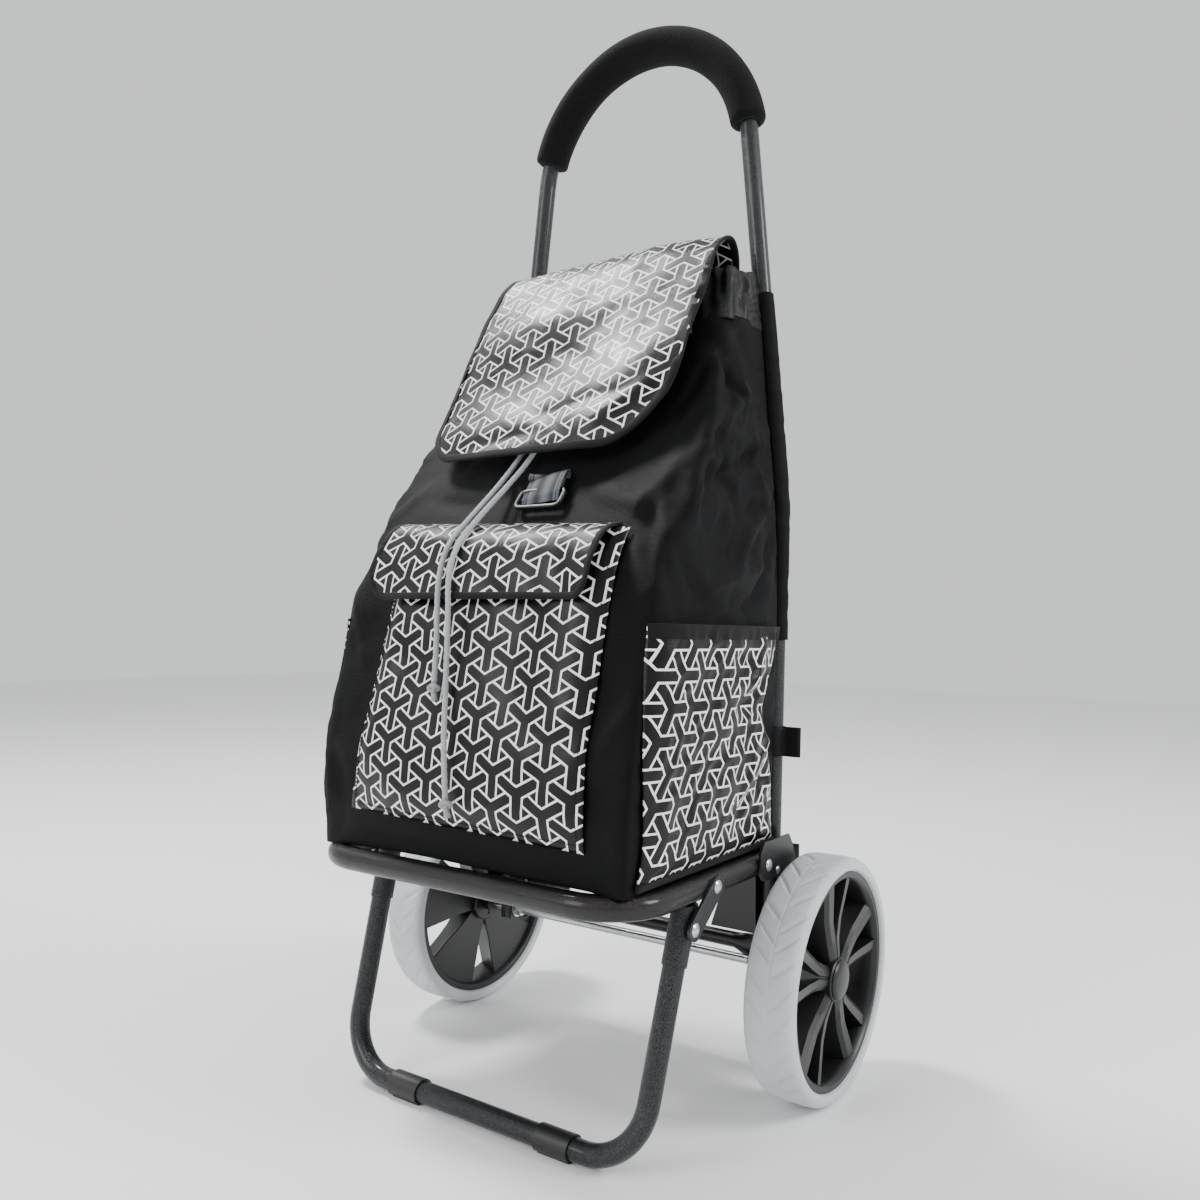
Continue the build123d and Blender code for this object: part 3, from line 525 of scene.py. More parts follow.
def printed_cloth():
    """The print, worked out per point: the offset from the nearest figure's centre on a triangular lattice,
    its distance along and from each of the three arms, and from those the figures, the neighbours' arms that
    reach in, and the small gaps between outlines."""
    made, tree, shader = material("printed_coated_polyester", "#060504", 0.32, 0.0, 0.26)
    place = add(tree, "ShaderNodeUVMap", {"uv_map": "flat_cloth"})
    half = (PITCH * math.sqrt(3) / 2, PITCH / 2, 1.0)
    low = tuple(-h for h in half)
    moved = add(tree, "ShaderNodeVectorMath", {"operation": "ADD"},
                {0: place.outputs[0], 1: (half[0], half[1], 0)})
    wrapped = [add(tree, "ShaderNodeVectorMath", {"operation": "WRAP"}, {0: v, 1: half, 2: low}).outputs[0]
               for v in (place.outputs[0], moved.outputs[0])]
    far = [add(tree, "ShaderNodeVectorMath", {"operation": "LENGTH"}, {0: v}).outputs["Value"] for v in wrapped]
    first = add(tree, "ShaderNodeMath", {"operation": "LESS_THAN"}, {0: far[0], 1: far[1]})
    spot = add(tree, "ShaderNodeMix", {"data_type": "VECTOR"},
               {0: first.outputs[0], 4: wrapped[1], 5: wrapped[0]}).outputs[1]
    ahead, off = [], []
    for turn in (-90, 30, 150):
        c, s = math.cos(math.radians(turn)), math.sin(math.radians(turn))
        along = add(tree, "ShaderNodeVectorMath", {"operation": "DOT_PRODUCT"}, {0: spot, 1: (c, s, 0)})
        across = add(tree, "ShaderNodeVectorMath", {"operation": "DOT_PRODUCT"}, {0: spot, 1: (-s, c, 0)})
        ahead.append(add(tree, "ShaderNodeMath", {"operation": "GREATER_THAN"},
                         {0: along.outputs["Value"], 1: 0.0}).outputs[0])
        off.append(add(tree, "ShaderNodeMath", {"operation": "ABSOLUTE"}, {0: across.outputs["Value"]}).outputs[0])
    inked = None
    for k in range(3):
        others = add(tree, "ShaderNodeMath", {"operation": "MINIMUM"}, {0: off[(k + 1) % 3], 1: off[(k + 2) % 3]})
        clear = add(tree, "ShaderNodeMath", {"operation": "GREATER_THAN"}, {0: others.outputs[0], 1: ARM + LINE})
        inside = add(tree, "ShaderNodeMath", {"operation": "LESS_THAN"}, {0: off[k], 1: ARM})
        reach = add(tree, "ShaderNodeMath", {"operation": "MAXIMUM"}, {0: ahead[k], 1: clear.outputs[0]})
        figure = add(tree, "ShaderNodeMath", {"operation": "MULTIPLY"}, {0: inside.outputs[0], 1: reach.outputs[0]})
        beyond = add(tree, "ShaderNodeMath", {"operation": "GREATER_THAN"}, {0: off[k], 1: ARM + LINE})
        gap = add(tree, "ShaderNodeMath", {"operation": "MULTIPLY"}, {0: beyond.outputs[0], 1: clear.outputs[0]})
        black = add(tree, "ShaderNodeMath", {"operation": "MAXIMUM"}, {0: figure.outputs[0], 1: gap.outputs[0]})
        inked = black.outputs[0] if inked is None else add(
            tree, "ShaderNodeMath", {"operation": "MAXIMUM"}, {0: inked, 1: black.outputs[0]}).outputs[0]
    tone = add(tree, "ShaderNodeMix", {"data_type": "RGBA"}, {0: inked, 6: linear("#f1efeb"), 7: linear("#060504")})
    tree.links.new(tone.outputs[2], shader.inputs["Base Color"])
    solid = add(tree, "ShaderNodeTexCoord")
    cloud = add(tree, "ShaderNodeTexNoise", None, {"Vector": solid.outputs["Object"], "Scale": 60.0, "Detail": 4.0})
    dull = add(tree, "ShaderNodeMapRange", None, {0: cloud.outputs[0], 1: 0.3, 2: 0.7, 3: 0.24, 4: 0.40})
    tree.links.new(dull.outputs[0], shader.inputs["Roughness"])
    threads = [add(tree, "ShaderNodeTexWave", {"bands_direction": axis},
                   {"Vector": place.outputs[0], "Scale": 330.0}).outputs[1] for axis in ("X", "Y")]
    weave = add(tree, "ShaderNodeMath", {"operation": "MULTIPLY"}, {0: threads[0], 1: threads[1]})
    fine = add(tree, "ShaderNodeBump", None, {"Height": weave.outputs[0], "Distance": 0.0002, "Strength": 0.35})
    dent = add(tree, "ShaderNodeBump", None, {"Height": cloud.outputs[0], "Distance": 0.0012, "Strength": 0.25,
                                              "Normal": fine.outputs[0]})
    tree.links.new(dent.outputs[0], shader.inputs["Normal"])
    return made


def outward(points):
    """Unit normals of a grid of points, as the cross product of its two directions."""
    normal = np.cross(np.gradient(points, axis=0), np.gradient(points, axis=1))
    return normal / np.maximum(np.linalg.norm(normal, axis=-1, keepdims=True), 1e-9)


def band(points, normals, width, depth, lift=0.0, over=0.6):
    """A flat tape along an edge: a rounded rectangle, carried along the edge line and laid on the surface
    whose normals are given. Its width runs to the side that tangent x normal points to."""
    reach, half = width / 2, depth / 2
    turn = -np.linspace(0, 2 * math.pi, 17)[:-1]
    profile = np.stack([np.sign(np.cos(turn)) * np.abs(np.cos(turn)) ** 0.45 * reach + reach - over,
                        np.sign(np.sin(turn)) * np.abs(np.sin(turn)) ** 0.7 * half + lift], -1)
    tangent = np.gradient(points, axis=0)
    tangent /= np.linalg.norm(tangent, axis=1, keepdims=True)
    inward = np.cross(tangent, normals)
    inward /= np.linalg.norm(inward, axis=1, keepdims=True)
    spots = points + profile[:, None, :1] * inward + profile[:, None, 1:] * normals
    flat = np.stack(np.meshgrid(np.arange(17) / 16 * 2 * (width + depth), lengths(points), indexing="ij"), -1)
    return grid(spots, (True, False), (True, True), flat / 1000)


def stitches(points, normals, spacing=3.4, length=2.3, radius=0.35, lift=0.35):
    """Sewing thread: a short tube with pointed ends for each stitch along a line on a surface."""
    travelled = lengths(points)
    starts = np.arange(1.0, travelled[-1] - spacing, spacing)
    share = np.array([0, 0.25, 0.5, 0.75, 1.0])
    at = starts[:, None] + share * length
    spine = np.stack([np.interp(at, travelled, points[:, k]) for k in range(3)], -1)
    up = np.stack([np.interp(at, travelled, normals[:, k]) for k in range(3)], -1)
    ahead = spine[:, -1:] - spine[:, :1]
    ahead = ahead / np.linalg.norm(ahead, axis=-1, keepdims=True)
    across = np.cross(up, ahead)
    swell = np.sin(np.pi * (0.08 + 0.84 * share))
    spine = spine + up * (lift * swell)[:, None]
    turn = np.arange(6) * math.pi / 3
    ring = spine[:, None] + radius * swell[:, None] * (np.cos(turn)[:, None, None] * across[:, None]
                                                       + np.sin(turn)[:, None, None] * up[:, None])
    count = len(starts)
    index = np.arange(count * 6 * 5).reshape(count, 6, 5)
    after = np.roll(index, -1, axis=1)
    quads = np.stack([index[..., :-1], after[..., :-1], after[..., 1:], index[..., 1:]], -1).reshape(-1, 4)
    ends = np.concatenate([index[:, ::-1, 0], index[:, :, -1]])
    faces = quads.tolist() + ends.tolist()
    return ring.reshape(-1, 3), faces, np.zeros((len(quads) * 4 + ends.size, 2))


print_cloth = printed_cloth()
black_tape, _, tape_shader = material("grosgrain_binding_tape", "#070708", 0.75, 0.0, 0.2)
tape_shader.inputs["Sheen Weight"].default_value = 0.05
dark_thread, _, _ = material("dark_sewing_thread", "#0c0c0d", 0.6, 0.0, 0.3)

across, height = np.linspace(-1, 1, 90), np.linspace(237, 466, 84)
pocket_x = np.where(across[:, None] < 0, across[:, None] * np.interp(height, (245, 307, 408), (114, 106, 98)),
                    across[:, None] * np.interp(height, (240, 309, 377), (122, 120, 121)))
pocket_z = height[None] + (1 - ramp(height, 240, 420)) * 3.0 * (1 - across[:, None])
edge = np.clip((1 - np.abs(across)) * 115 / 26, 0, 1)[:, None] * np.clip((height - 237) / 26, 0, 1)[None]
proud = 2.2 + 8.3 * np.sin(edge * math.pi / 2)
front, _, _ = section(pocket_z)
wave = ripple(pocket_x, pocket_z, 31, 70, 1.2, 0.3) * (0.3 + edge)
wave = wave + crease(pocket_x, pocket_z, (60, 250), (112, 330), 9, -2.5)
wave = wave + crease(pocket_x, pocket_z, (-90, 260), (-60, 390), 12, -1.6)
pocket = np.stack([pocket_x, front - proud - np.clip(wave, -2.6, 1.0), pocket_z], -1)
flat = np.stack([pocket_x, np.broadcast_to(height, pocket_x.shape)], -1) / 1000
pocket_cloth = piece("front_pocket_cloth", print_cloth, grid(pocket, uv=flat))
thicken(pocket_cloth, 1.0)
soft(pocket_cloth, "bag_front", "printed_cloth", "front_pocket")
line = np.concatenate([pocket[2, ::-1][:-2], pocket[2:-2, 2], pocket[-3, 2:]])
facing = outward(pocket)
line_up = np.concatenate([facing[2, ::-1][:-2], facing[2:-2, 2], facing[-3, 2:]])
seam = piece("front_pocket_seam", dark_thread, stitches(line, line_up, 3.4, 2.6, 0.45))
soft(seam, "bag_front", "black_polyester")

# ---- pocket flap ----
# A piece of the same printed cloth, sewn across the bag above the pocket. It hangs forward over the pocket's
# mouth, and its free edge is bound with black tape.


def rounded_panel(line, left, right, corners, counts):
    """A hanging panel: a grid over a drop line (y, z) and a width. Each column ends where its bottom corner's
    quarter ellipse does. Returns the points and their flat places, with the length down the line."""
    down = lengths(np.c_[0 * line[:, :1], line])
    turn = np.linspace(math.pi / 2, -math.pi / 2, counts[0])
    share = (np.sin(turn) * 0.75 + turn / (math.pi / 2) * 0.25 + 1) / 2
    rows = np.linspace(0, 1, counts[1])
    x_low = left[-1] + (right[-1] - left[-1]) * share
    near = [np.clip((edge_r - np.abs(x_low - end)) / edge_r, 0, 1)
            for end, (edge_r, _) in zip((left[-1], right[-1]), corners)]
    rise = sum(c[1] * (1 - np.sqrt(1 - n ** 2)) for c, n in zip(corners, near))
    reach = down[-1] - rise
    s = rows[None] * reach[:, None]
    lo, hi = (np.interp(s, np.linspace(0, down[-1], len(e)), e) for e in (left, right))
    x = lo + (hi - lo) * share[:, None]
    y, z = (np.interp(s, down, line[:, k]) for k in (0, 1))
    return np.stack([x, y, z], -1), np.stack([x, s], -1)


def smooth_line(points, count, rounds):
    """Evenly spaced points along joined straight runs, then averaged with their neighbours several times."""
    points = np.asarray(points, float)
    travelled = lengths(points)
    at = np.linspace(0, travelled[-1], count)
    line = np.stack([np.interp(at, travelled, points[:, k]) for k in range(points.shape[1])], -1)
    for _ in range(rounds):
        line[1:-1] = (line[:-2] + 2 * line[1:-1] + line[2:]) / 4
    return line


def edge_of(points, normals):
    """The free edge of a hanging panel: down one side, along its bottom and up the other side."""
    parts = [(points[0, :-1], normals[0, :-1]), (points[:, -1], normals[:, -1]),
             (points[-1, ::-1][1:], normals[-1, ::-1][1:])]
    return [np.concatenate([p[k] for p in parts]) for k in (0, 1)]


flap_line = smooth_line([(-179, 473), (-190, 471), (-203, 462), (-212, 447), (-218, 430), (-222, 413)], 60, 30)
flap, flap_flat = rounded_panel(flap_line, (-113, -115, -115), (112, 111, 109), ((22, 22), (12, 14)), (96, 40))
flap_down = flap_flat[..., 1]
lie = ripple(flap[..., 0], flap[..., 2], 44, 60, 1.6, 0.3) + 2.0 * np.cos(flap[..., 0] / 36) * ramp(flap_down, 10, 40)
flap[..., 1] -= lie * ramp(flap_down, 4, 30)
flap[..., 2] += 0.035 * -flap[..., 0] * (1 - ramp(flap_down, 0, 50))
normals = outward(flap)
flap_cloth = thicken(piece("pocket_flap_cloth", print_cloth, grid(flap, uv=flap_flat / 1000)), 1.1, 0.0)
flap_edge, flap_up = edge_of(flap, normals)
flap_tape = piece("pocket_flap_binding", black_tape, band(flap_edge, flap_up, 5.5, 2.6))
for made, slot, nodes in ((flap_cloth, "printed_cloth", ["pocket_flap"]), (flap_tape, "black_polyester", [])):
    soft(made, "pocket_flap", slot, *nodes)

# ---- lid ----
# A large flap of the printed cloth, sewn to the top of the back panel. It arches over the drawstring mouth as
# an open tunnel and falls down the sloping front. Black tape binds its free edge.

lid_line = smooth_line([(-14.5, 704), (-16.5, 719), (-25, 731), (-44, 726), (-60, 711), (-68, 698), (-85, 671),
                        (-104, 631), (-123, 595), (-142, 559), (-154, 533)], 200, 34)
lid, lid_flat = rounded_panel(lid_line, (-113.5, -116, -124, -126, -125, -122),
                              (113.5, 116, 119, 118, 120, 120),
                              ((34, 36), (58, 88)), (130, 130))
lid_u = lid[..., 0] / 122
lid_down = lid_flat[..., 1]
lid_fall = ramp(lid_down, 50, 150)
lid_swell = ripple(lid[..., 0], lid_down, 17, 120, 2.0) + ripple(lid[..., 0], lid_down, 23, 42, 0.5, 0.5)
for dent in (((-126, 118), (60, 96), 16, -2.0), ((20, 300), (124, 120), 22, 2.2), ((-20, 236), (96, 214), 9, -2.4),
             ((-90, 262), (20, 246), 8, -2.0), ((40, 262), (110, 200), 8, 2.0)):
    lid_swell = lid_swell + crease(lid[..., 0], lid_down, *dent)
lid[..., 1] += (8.0 * np.abs(lid_u) ** 2.5 * lid_fall - lid_swell * ramp(lid_down, 20, 90))
lid[..., 2] += (-4.0 * np.abs(lid_u) ** 3 * (1 - lid_fall)
                + 0.4 * lid_swell * (1 - lid_fall) * ramp(lid_down, 4, 30))
normals = outward(lid)
lid_cloth = thicken(piece("lid_cloth", print_cloth, grid(lid, uv=lid_flat / 1000)), 1.2, 0.0)
lid_edge, lid_up = edge_of(lid, normals)
lid_tape = piece("lid_binding", black_tape, band(lid_edge, lid_up, 6.8, 2.8))
for made, slot, nodes in ((lid_cloth, "printed_cloth", ["top_lid"]), (lid_tape, "black_polyester", [])):
    soft(made, "lid", slot, *nodes)

# ---- side pockets ----
# An open pocket of the printed cloth on each side, hemmed with black tape at its mouth and bottom. It is sewn
# to the bag along its bottom and both ends, so that it hangs open and crumples towards the back.

POCKET_LOW, POCKET_TOP = 213, 396
SEWN_FRONT = [(POCKET_LOW, -219), (236, -213), (278, -216), (303, -219), (345, -214), (382, -208), (POCKET_TOP, -205)]
SEWN_REAR = [(POCKET_LOW, -15), (262, -24), (300, -37), (325, -49), (346, -44), (372, -28), (POCKET_TOP, -21)]
POCKET_FOLDS = [((-30, 372), (-110, 320), 7, -3.4), ((-30, 328), (-118, 340), 8, -4.0),
                ((-36, 320), (-96, 262), 7, 3.6), ((-30, 286), (-104, 244), 7, -3.0),
                ((-64, 396), (-78, 336), 8, 3.0), ((-190, 250), (-120, 300), 10, -1.8),
                ((-40, 318), (-70, 214), 6, -2.6), ((-24, 250), (-80, 226), 6, 2.6)]


def sewn_line(height, points, blur):
    """Where an end of the pocket is sewn to the bag, at each height: straight runs through points (height,
    y), averaged with their values a little above and below."""
    at, y = np.array(points, float).T
    return np.mean([np.interp(height + d, at, y) for d in (-blur, 0, blur)], 0)


# The right pocket stands open. The left one is empty and lies against the bag.
for side, name, clear, opening, crumpled in ((1, "right", 2.6, 6.0, 1.0), (-1, "left", 1.6, 0.4, 0.35)):
    share, height = np.linspace(0, 1, 96)[:, None], np.linspace(POCKET_LOW, POCKET_TOP, 90)[None]
    sewn_front, sewn_rear = sewn_line(height, SEWN_FRONT, 9), sewn_line(height, SEWN_REAR, 7)
    y, z = sewn_front + (sewn_rear - sewn_front) * share, height + 0 * share
    end_gap = np.minimum(np.minimum(share * 185 / 22, (1 - share) * 185 / 16), (z - POCKET_LOW) / 20)
    open_up = np.sin(np.clip(end_gap, 0, 1) * math.pi / 2)
    front, half, corner = section(z)
    into = np.clip(front + corner - y, 0, 0.85 * corner)
    half = half - corner + np.sqrt(corner ** 2 - into ** 2)
    crumple = ripple(y, z, 51 + side, 52, 1.3, 0.5) + ripple(y, z, 61 + side, 24, 0.8, 0.8)
    crumple = crumple + sum(crease(y, z, *f) for f in POCKET_FOLDS)
    mouth = 1 + 0.4 * ramp(z, 330, POCKET_TOP) * np.sin((y + 205) / 185 * math.pi)
    x = half + side_bulge(y, z) + clear + open_up * opening * mouth
    x = x + crumple * np.clip(end_gap, 0, 1) * crumpled
    x = x - 3.0 * ramp(y, -60, -24) * np.exp(-((z - 330) / 26) ** 2)
    wall = np.stack([side * x, y, z], -1)[::side]
    flat = np.stack([z * side, -y], -1)[::side] / 1000
    cloth = thicken(piece(f"side_pocket_cloth_{name}", print_cloth, grid(wall, uv=flat)), 1.0)
    soft(cloth, "frame", "printed_cloth", f"side_pocket_{name}")
    facing = outward(wall)
    hem = piece(f"side_pocket_hem_{name}", black_tape, band(wall[:, -1], facing[:, -1], 11.0, 2.2, 0.2),
                band(wall[::-1, 0], facing[::-1, 0], 7.0, 1.8, 0.4))
    soft(hem, "frame", "black_polyester")

# ---- back panel, upright sleeves and frame straps ----
# The back of the bag is a flat double layer of polyester. A cloth sleeve runs up each handle tube, and a webbing loop
# holds the lower bag to each tube; the right loop's loose end stands out as a tab.

panel_lo, panel_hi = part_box("back_panel")
panel_z = np.linspace(panel_lo.z * 1000 + 0.5, panel_hi.z * 1000 - 0.5, 110)
panel_half = np.minimum(section(panel_z)[1] - 4, panel_hi.x * 1000 - 0.5)
panel_x = np.linspace(1, -1, 70)[:, None] * panel_half[None]
panel_y = -11.9 + np.clip(ripple(panel_x, panel_z[None], 71, 60, 0.3, 0.5), -0.6, 0.45)
panel = np.stack([panel_x, panel_y, panel_z[None] + 0 * panel_x], -1)
back = thicken(piece("back_panel_cloth", black_cloth, grid(panel)), 1.2)
seam_at = [panel[3, 2:-2], panel[-4, 2:-2], panel[3:-3, 60]]
seams = piece("back_panel_stitching", dark_thread,
              *[stitches(line, np.broadcast_to((0.0, 1.0, 0.0), line.shape), 4.2, 3.0, 0.45) for line in seam_at])
for made, nodes in ((back, ["back_panel"]), (seams, [])):
    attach(made, "frame")
    if nodes:
        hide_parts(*nodes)

webbing_cloth, _, _ = material("flat_nylon_webbing", "#0b0b0c", 0.7, 0.0, 0.25)
TUBE_X = 150.0
for side, name in ((1, "right"), (-1, "left")):
    spine = smooth_line([(TUBE_X, 0, 385.5), (TUBE_X, 0, 503), (TUBE_X - 20.5, 0, 682.5)], 130, 16) * (side, 1, 1)
    tube = carried(spine, circle(1.0, 40), (1, 0, 0)) - spine
    travelled = lengths(spine)[None]
    turn = (np.arange(40) * 2 * math.pi / 40)[:, None]
    slack = 9.75 + np.clip(ripple(travelled, 12 * np.cos(turn), 81 + side, 26, 0.35, 0.7)
                           + 0.25 * np.cos(2 * turn + travelled / 40), -0.6, 0.5)
    sleeve = thicken(piece(f"upright_sleeve_cloth_{name}", black_cloth,
                           grid(spine + tube * slack[..., None], (True, False))), 0.9)
    turn = np.linspace(math.radians(10), math.radians(350), 40)
    loop = np.stack([TUBE_X + 9.4 * np.cos(turn), 9.4 * np.sin(turn)], -1)
    tab = np.array([(163, -1.6), (168, -1.5), (172, -1.4), (174.6, -1.2), (175.4, 0), (174.6, 1.2), (172, 1.4),
                    (168, 1.5), (163, 1.6)])
    plan = (np.concatenate([loop, tab]) if side > 0 else loop) * (side, 1)
    rows = np.linspace(285.3, 310.7, 9)
    levels = np.broadcast_to(rows, (len(plan), 9))[..., None]
    band_points = np.concatenate([np.repeat(plan[:, None], 9, 1), levels], -1)
    strap = thicken(piece(f"frame_strap_webbing_{name}", webbing_cloth,
                          grid(band_points[::side], (True, False))), 1.1)
    for made, node, slot in ((sleeve, "upright_sleeve", "black_polyester"), (strap, "frame_strap", "webbing")):
        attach(made, "frame")
        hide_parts(f"{node}_{name}")

# ---- closing strap ----
# A folded end of grey webbing with a black slide buckle hangs on the bag's front under the lid.


def on_front(x, z, lift):
    """A point above the bag's sloping front, lifted along the front's own normal."""
    z = np.asarray(z, float)
    y, ahead = section(z)[0], section(z + 1)[0]
    slope = ahead - y
    size = np.sqrt(1 + slope ** 2)
    return np.stack([x + 0 * z, y - lift / size, z + lift * slope / size], -1)


def tape_profile(width, depth):
    """A flat strap's cross-section: a rectangle with round edges, as a superellipse."""
    turn = np.linspace(0, 2 * math.pi, 25)[:-1]
    return np.stack([np.sign(np.cos(turn)) * np.abs(np.cos(turn)) ** 0.3 * width / 2,
                     np.sign(np.sin(turn)) * np.abs(np.sin(turn)) ** 0.8 * depth / 2], -1)


grey_webbing, tree, shader = material("ribbed_grey_webbing", "#33363a", 0.7, 0.0, 0.3)
place = add(tree, "ShaderNodeUVMap", {"uv_map": "flat_cloth"})
# The ribs are drawn in colour only, with no bump: the darker bands are painted shade between ribs and the lighter
# bands a painted highlight on them.
ribs = add(tree, "ShaderNodeTexWave", {"bands_direction": "X"}, {"Vector": place.outputs[0], "Scale": 6.0})
tone = add(tree, "ShaderNodeMix", {"data_type": "RGBA"},
           {0: ribs.outputs[1], 6: linear("#1f2124"), 7: linear("#5b5f63")})
tree.links.new(tone.outputs[2], shader.inputs["Base Color"])
fold_path = smooth_line(np.concatenate([on_front(22, [515, 498, 495.5, 498], [1.6, 1.8, 3.0, 4.2]),
                                        on_front(22, [508, 510.5, 508], [4.6, 5.8, 7.0]),
                                        on_front(22, [500, 492, 487], [7.2, 6.6, 4.0])]), 90, 6)
fold_path[:, 0] += np.linspace(-2.5, 3.5, 90)
strap_end = piece("closing_strap_webbing", grey_webbing,
                  grid(carried(fold_path, tape_profile(38, 1.2), (1, 0.02, 0.18)), (True, False), (True, True)))
soft(strap_end, "bag_front", "webbing", "front_webbing")
moulded, _, _ = material("moulded_acetal", "#141415", 0.38)
corner_turn = np.linspace(0, 2 * math.pi, 65)[:-1]
frame_x = 25 + np.sign(np.cos(corner_turn)) * np.abs(np.cos(corner_turn)) ** 0.25 * 22
frame_z = 490 + np.sign(np.sin(corner_turn)) * np.abs(np.sin(corner_turn)) ** 0.4 * 7
buckle_path = on_front(frame_x, frame_z, 5.4)
closed = np.concatenate([buckle_path[-1:], buckle_path, buckle_path[:1]])
buckle_ring = carried(closed, tape_profile(3.4, 3.0), (0.0, -0.8, 0.6))[:, 1:-1]
bar = on_front(np.linspace(4.5, 45.5, 24), np.full(24, 490.0), 4.2)
buckle = piece("slide_buckle_moulding", moulded, grid(buckle_ring, (True, True)),
               grid(carried(bar, tape_profile(3.0, 2.4), (0, 0.6, 0.8)), (True, False), (True, True)))
soft(buckle, "bag_front", "black_plastic", "slide_buckle")

# ---- eyelets ----
# Two rolled metal eyelets in the collar's front, where the drawstring comes out.

zinc, _, _ = material("zinc_plated_steel", "#b9bcbf", 0.28, 1.0)
rings = []
for x in (-6, 8):
    turn = np.linspace(0, 2 * math.pi, 33)[:-1]
    hoop = np.stack([x + 4.2 * np.cos(turn), np.full(32, -62.6), 672 + 4.2 * np.sin(turn)], -1)
    hoop = np.concatenate([hoop[-1:], hoop, hoop[:1]])
    rings.append(grid(carried(hoop, circle(1.2, 12), (0, 1, 0))[:, 1:-1], (True, True)))
eyelets = piece("collar_eyelets", zinc, *rings)
soft(eyelets, "frame", "zinc_steel", "eyelets")

# ---- foam grip ----
# Closed-cell foam sleeve over the arch of the handle, with a fine sponge texture and rounded ends.

foam, tree, shader = material("closed_cell_foam", "#060606", 0.92, 0.0, 0.15)
place = add(tree, "ShaderNodeTexCoord")
cells = add(tree, "ShaderNodeTexVoronoi", None, {"Vector": place.outputs["Object"], "Scale": 700.0})
patches = add(tree, "ShaderNodeTexNoise", None, {"Vector": place.outputs["Object"], "Scale": 90.0, "Detail": 5.0})
tone = add(tree, "ShaderNodeMix", {"data_type": "RGBA"},
           {0: patches.outputs[0], 6: linear("#050505"), 7: linear("#0e0e0f")})
tree.links.new(tone.outputs[2], shader.inputs["Base Color"])
pores = add(tree, "ShaderNodeBump", None, {"Height": cells.outputs[0], "Distance": 0.0006, "Strength": 0.6})
tree.links.new(pores.outputs[0], shader.inputs["Normal"])
shader.inputs["Sheen Weight"].default_value = 0.03

ARCH_R, ARCH_Z, TUBE_R, GRIP_R = 113.7, 815.0, 8.0, 16.0
angle = np.radians(np.linspace(9.6, 163.5, 190))
spine = np.stack([ARCH_R * np.cos(angle), 0 * angle, ARCH_Z + ARCH_R * np.sin(angle)], -1)
travelled = lengths(spine)
end_share = np.clip(np.minimum(travelled, travelled[-1] - travelled) / 4.5, 0, 1)
radius = 11.5 + (GRIP_R - 11.6) * np.sqrt(1 - (1 - end_share) ** 2)
turn = (np.arange(48) * 2 * math.pi / 48)[:, None]
radius = radius + np.minimum(ripple(travelled[None], 14 * np.cos(turn), 91, 70, 0.18), 0.1)
tube = carried(spine, circle(1.0, 48), (0, 1, 0)) - spine
outer = spine + tube * radius[..., None]
inner = (spine + tube * (TUBE_R + 0.15))[:, ::-1]
grip = piece("foam_grip_sleeve", foam, grid(np.concatenate([outer, inner], 1), (True, True)))
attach(grip, "frame")
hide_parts("foam_grip")

# ---- tyres ----
# Pale grey foamed-rubber tyres with round shoulders. Leaf-shaped grooves slant back from a fine centre line
# on each half of the tread.

rubber, tree, shader = material("pale_foamed_rubber", "#bcc1c3", 0.62)
place = add(tree, "ShaderNodeTexCoord")
dirt = add(tree, "ShaderNodeTexNoise", None, {"Vector": place.outputs["Object"], "Scale": 40.0, "Detail": 7.0})
tone = add(tree, "ShaderNodeMix", {"data_type": "RGBA"},
           {0: dirt.outputs[0], 6: linear("#cdd1d2"), 7: linear("#aeb4b6")})
tree.links.new(tone.outputs[2], shader.inputs["Base Color"])
grit = add(tree, "ShaderNodeBump", None, {"Height": dirt.outputs[0], "Distance": 0.0006, "Strength": 0.3})
tree.links.new(grit.outputs[0], shader.inputs["Normal"])

WHEEL_R, WHEEL_X = 102.0, 198.6
LEAVES = 30
wheel_turn = np.linspace(0, 2 * math.pi, 541)[:-1]
cross = smooth_line([(-18.4, 90.2), (-21.4, 91.4), (-22, 95), (-21, 99), (-17.5, 101.4), (-12, 102), (12, 102),
                     (17.5, 101.4), (21, 99), (22, 95), (21.4, 91.4), (18.4, 90.2)], 74, 3)
pitch = 2 * math.pi * WHEEL_R / LEAVES
w = cross[None, :, 0]
for side, name in ((1, "right"), (-1, "left")):
    run = (wheel_turn[:, None] * WHEEL_R + np.abs(w) * 0.95 + (w > 0) * pitch / 2) / pitch
    run = run + 0.16 * np.sin(5 * wheel_turn + side)[:, None]
    run = run + 0.10 * np.sin(11 * wheel_turn[:, None] + np.abs(w) / 6)
    away = np.abs(run - np.round(run)) * pitch * 0.72
    leaf = 1.5 * np.sqrt(np.clip(1 - ((np.abs(w) - 10.2) / 8.4) ** 2, 0, 1))
    cut = 1.3 * ramp(leaf - away, -0.9, 1.1) + 0.5 * np.exp(-(w / 0.6) ** 2)
    cut = cut + np.clip(ripple(wheel_turn[:, None] * WHEEL_R, w, 55 + side, 22, 0.35, 0.6), 0, 0.8)
    radius = cross[None, :, 1] - cut * (cross[None, :, 1] > 97)
    spots = np.stack([WHEEL_X * side + w + 0 * radius, -radius * np.sin(wheel_turn)[:, None],
                      WHEEL_R + radius * np.cos(wheel_turn)[:, None]], -1)
    tyre = piece(f"treaded_tyre_{name}", rubber, grid(spots, (True, True)))
    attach(tyre, f"wheel_{name}")
    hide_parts(f"tyre_{name}")

# ---- rims and hub caps ----
# One-piece moulded plastic rims. Five spokes each carry two bevelled ribs that part towards the rim, with a
# valley between them and sloping flanks down to the inner face. A domed cap is pressed over the axle end.


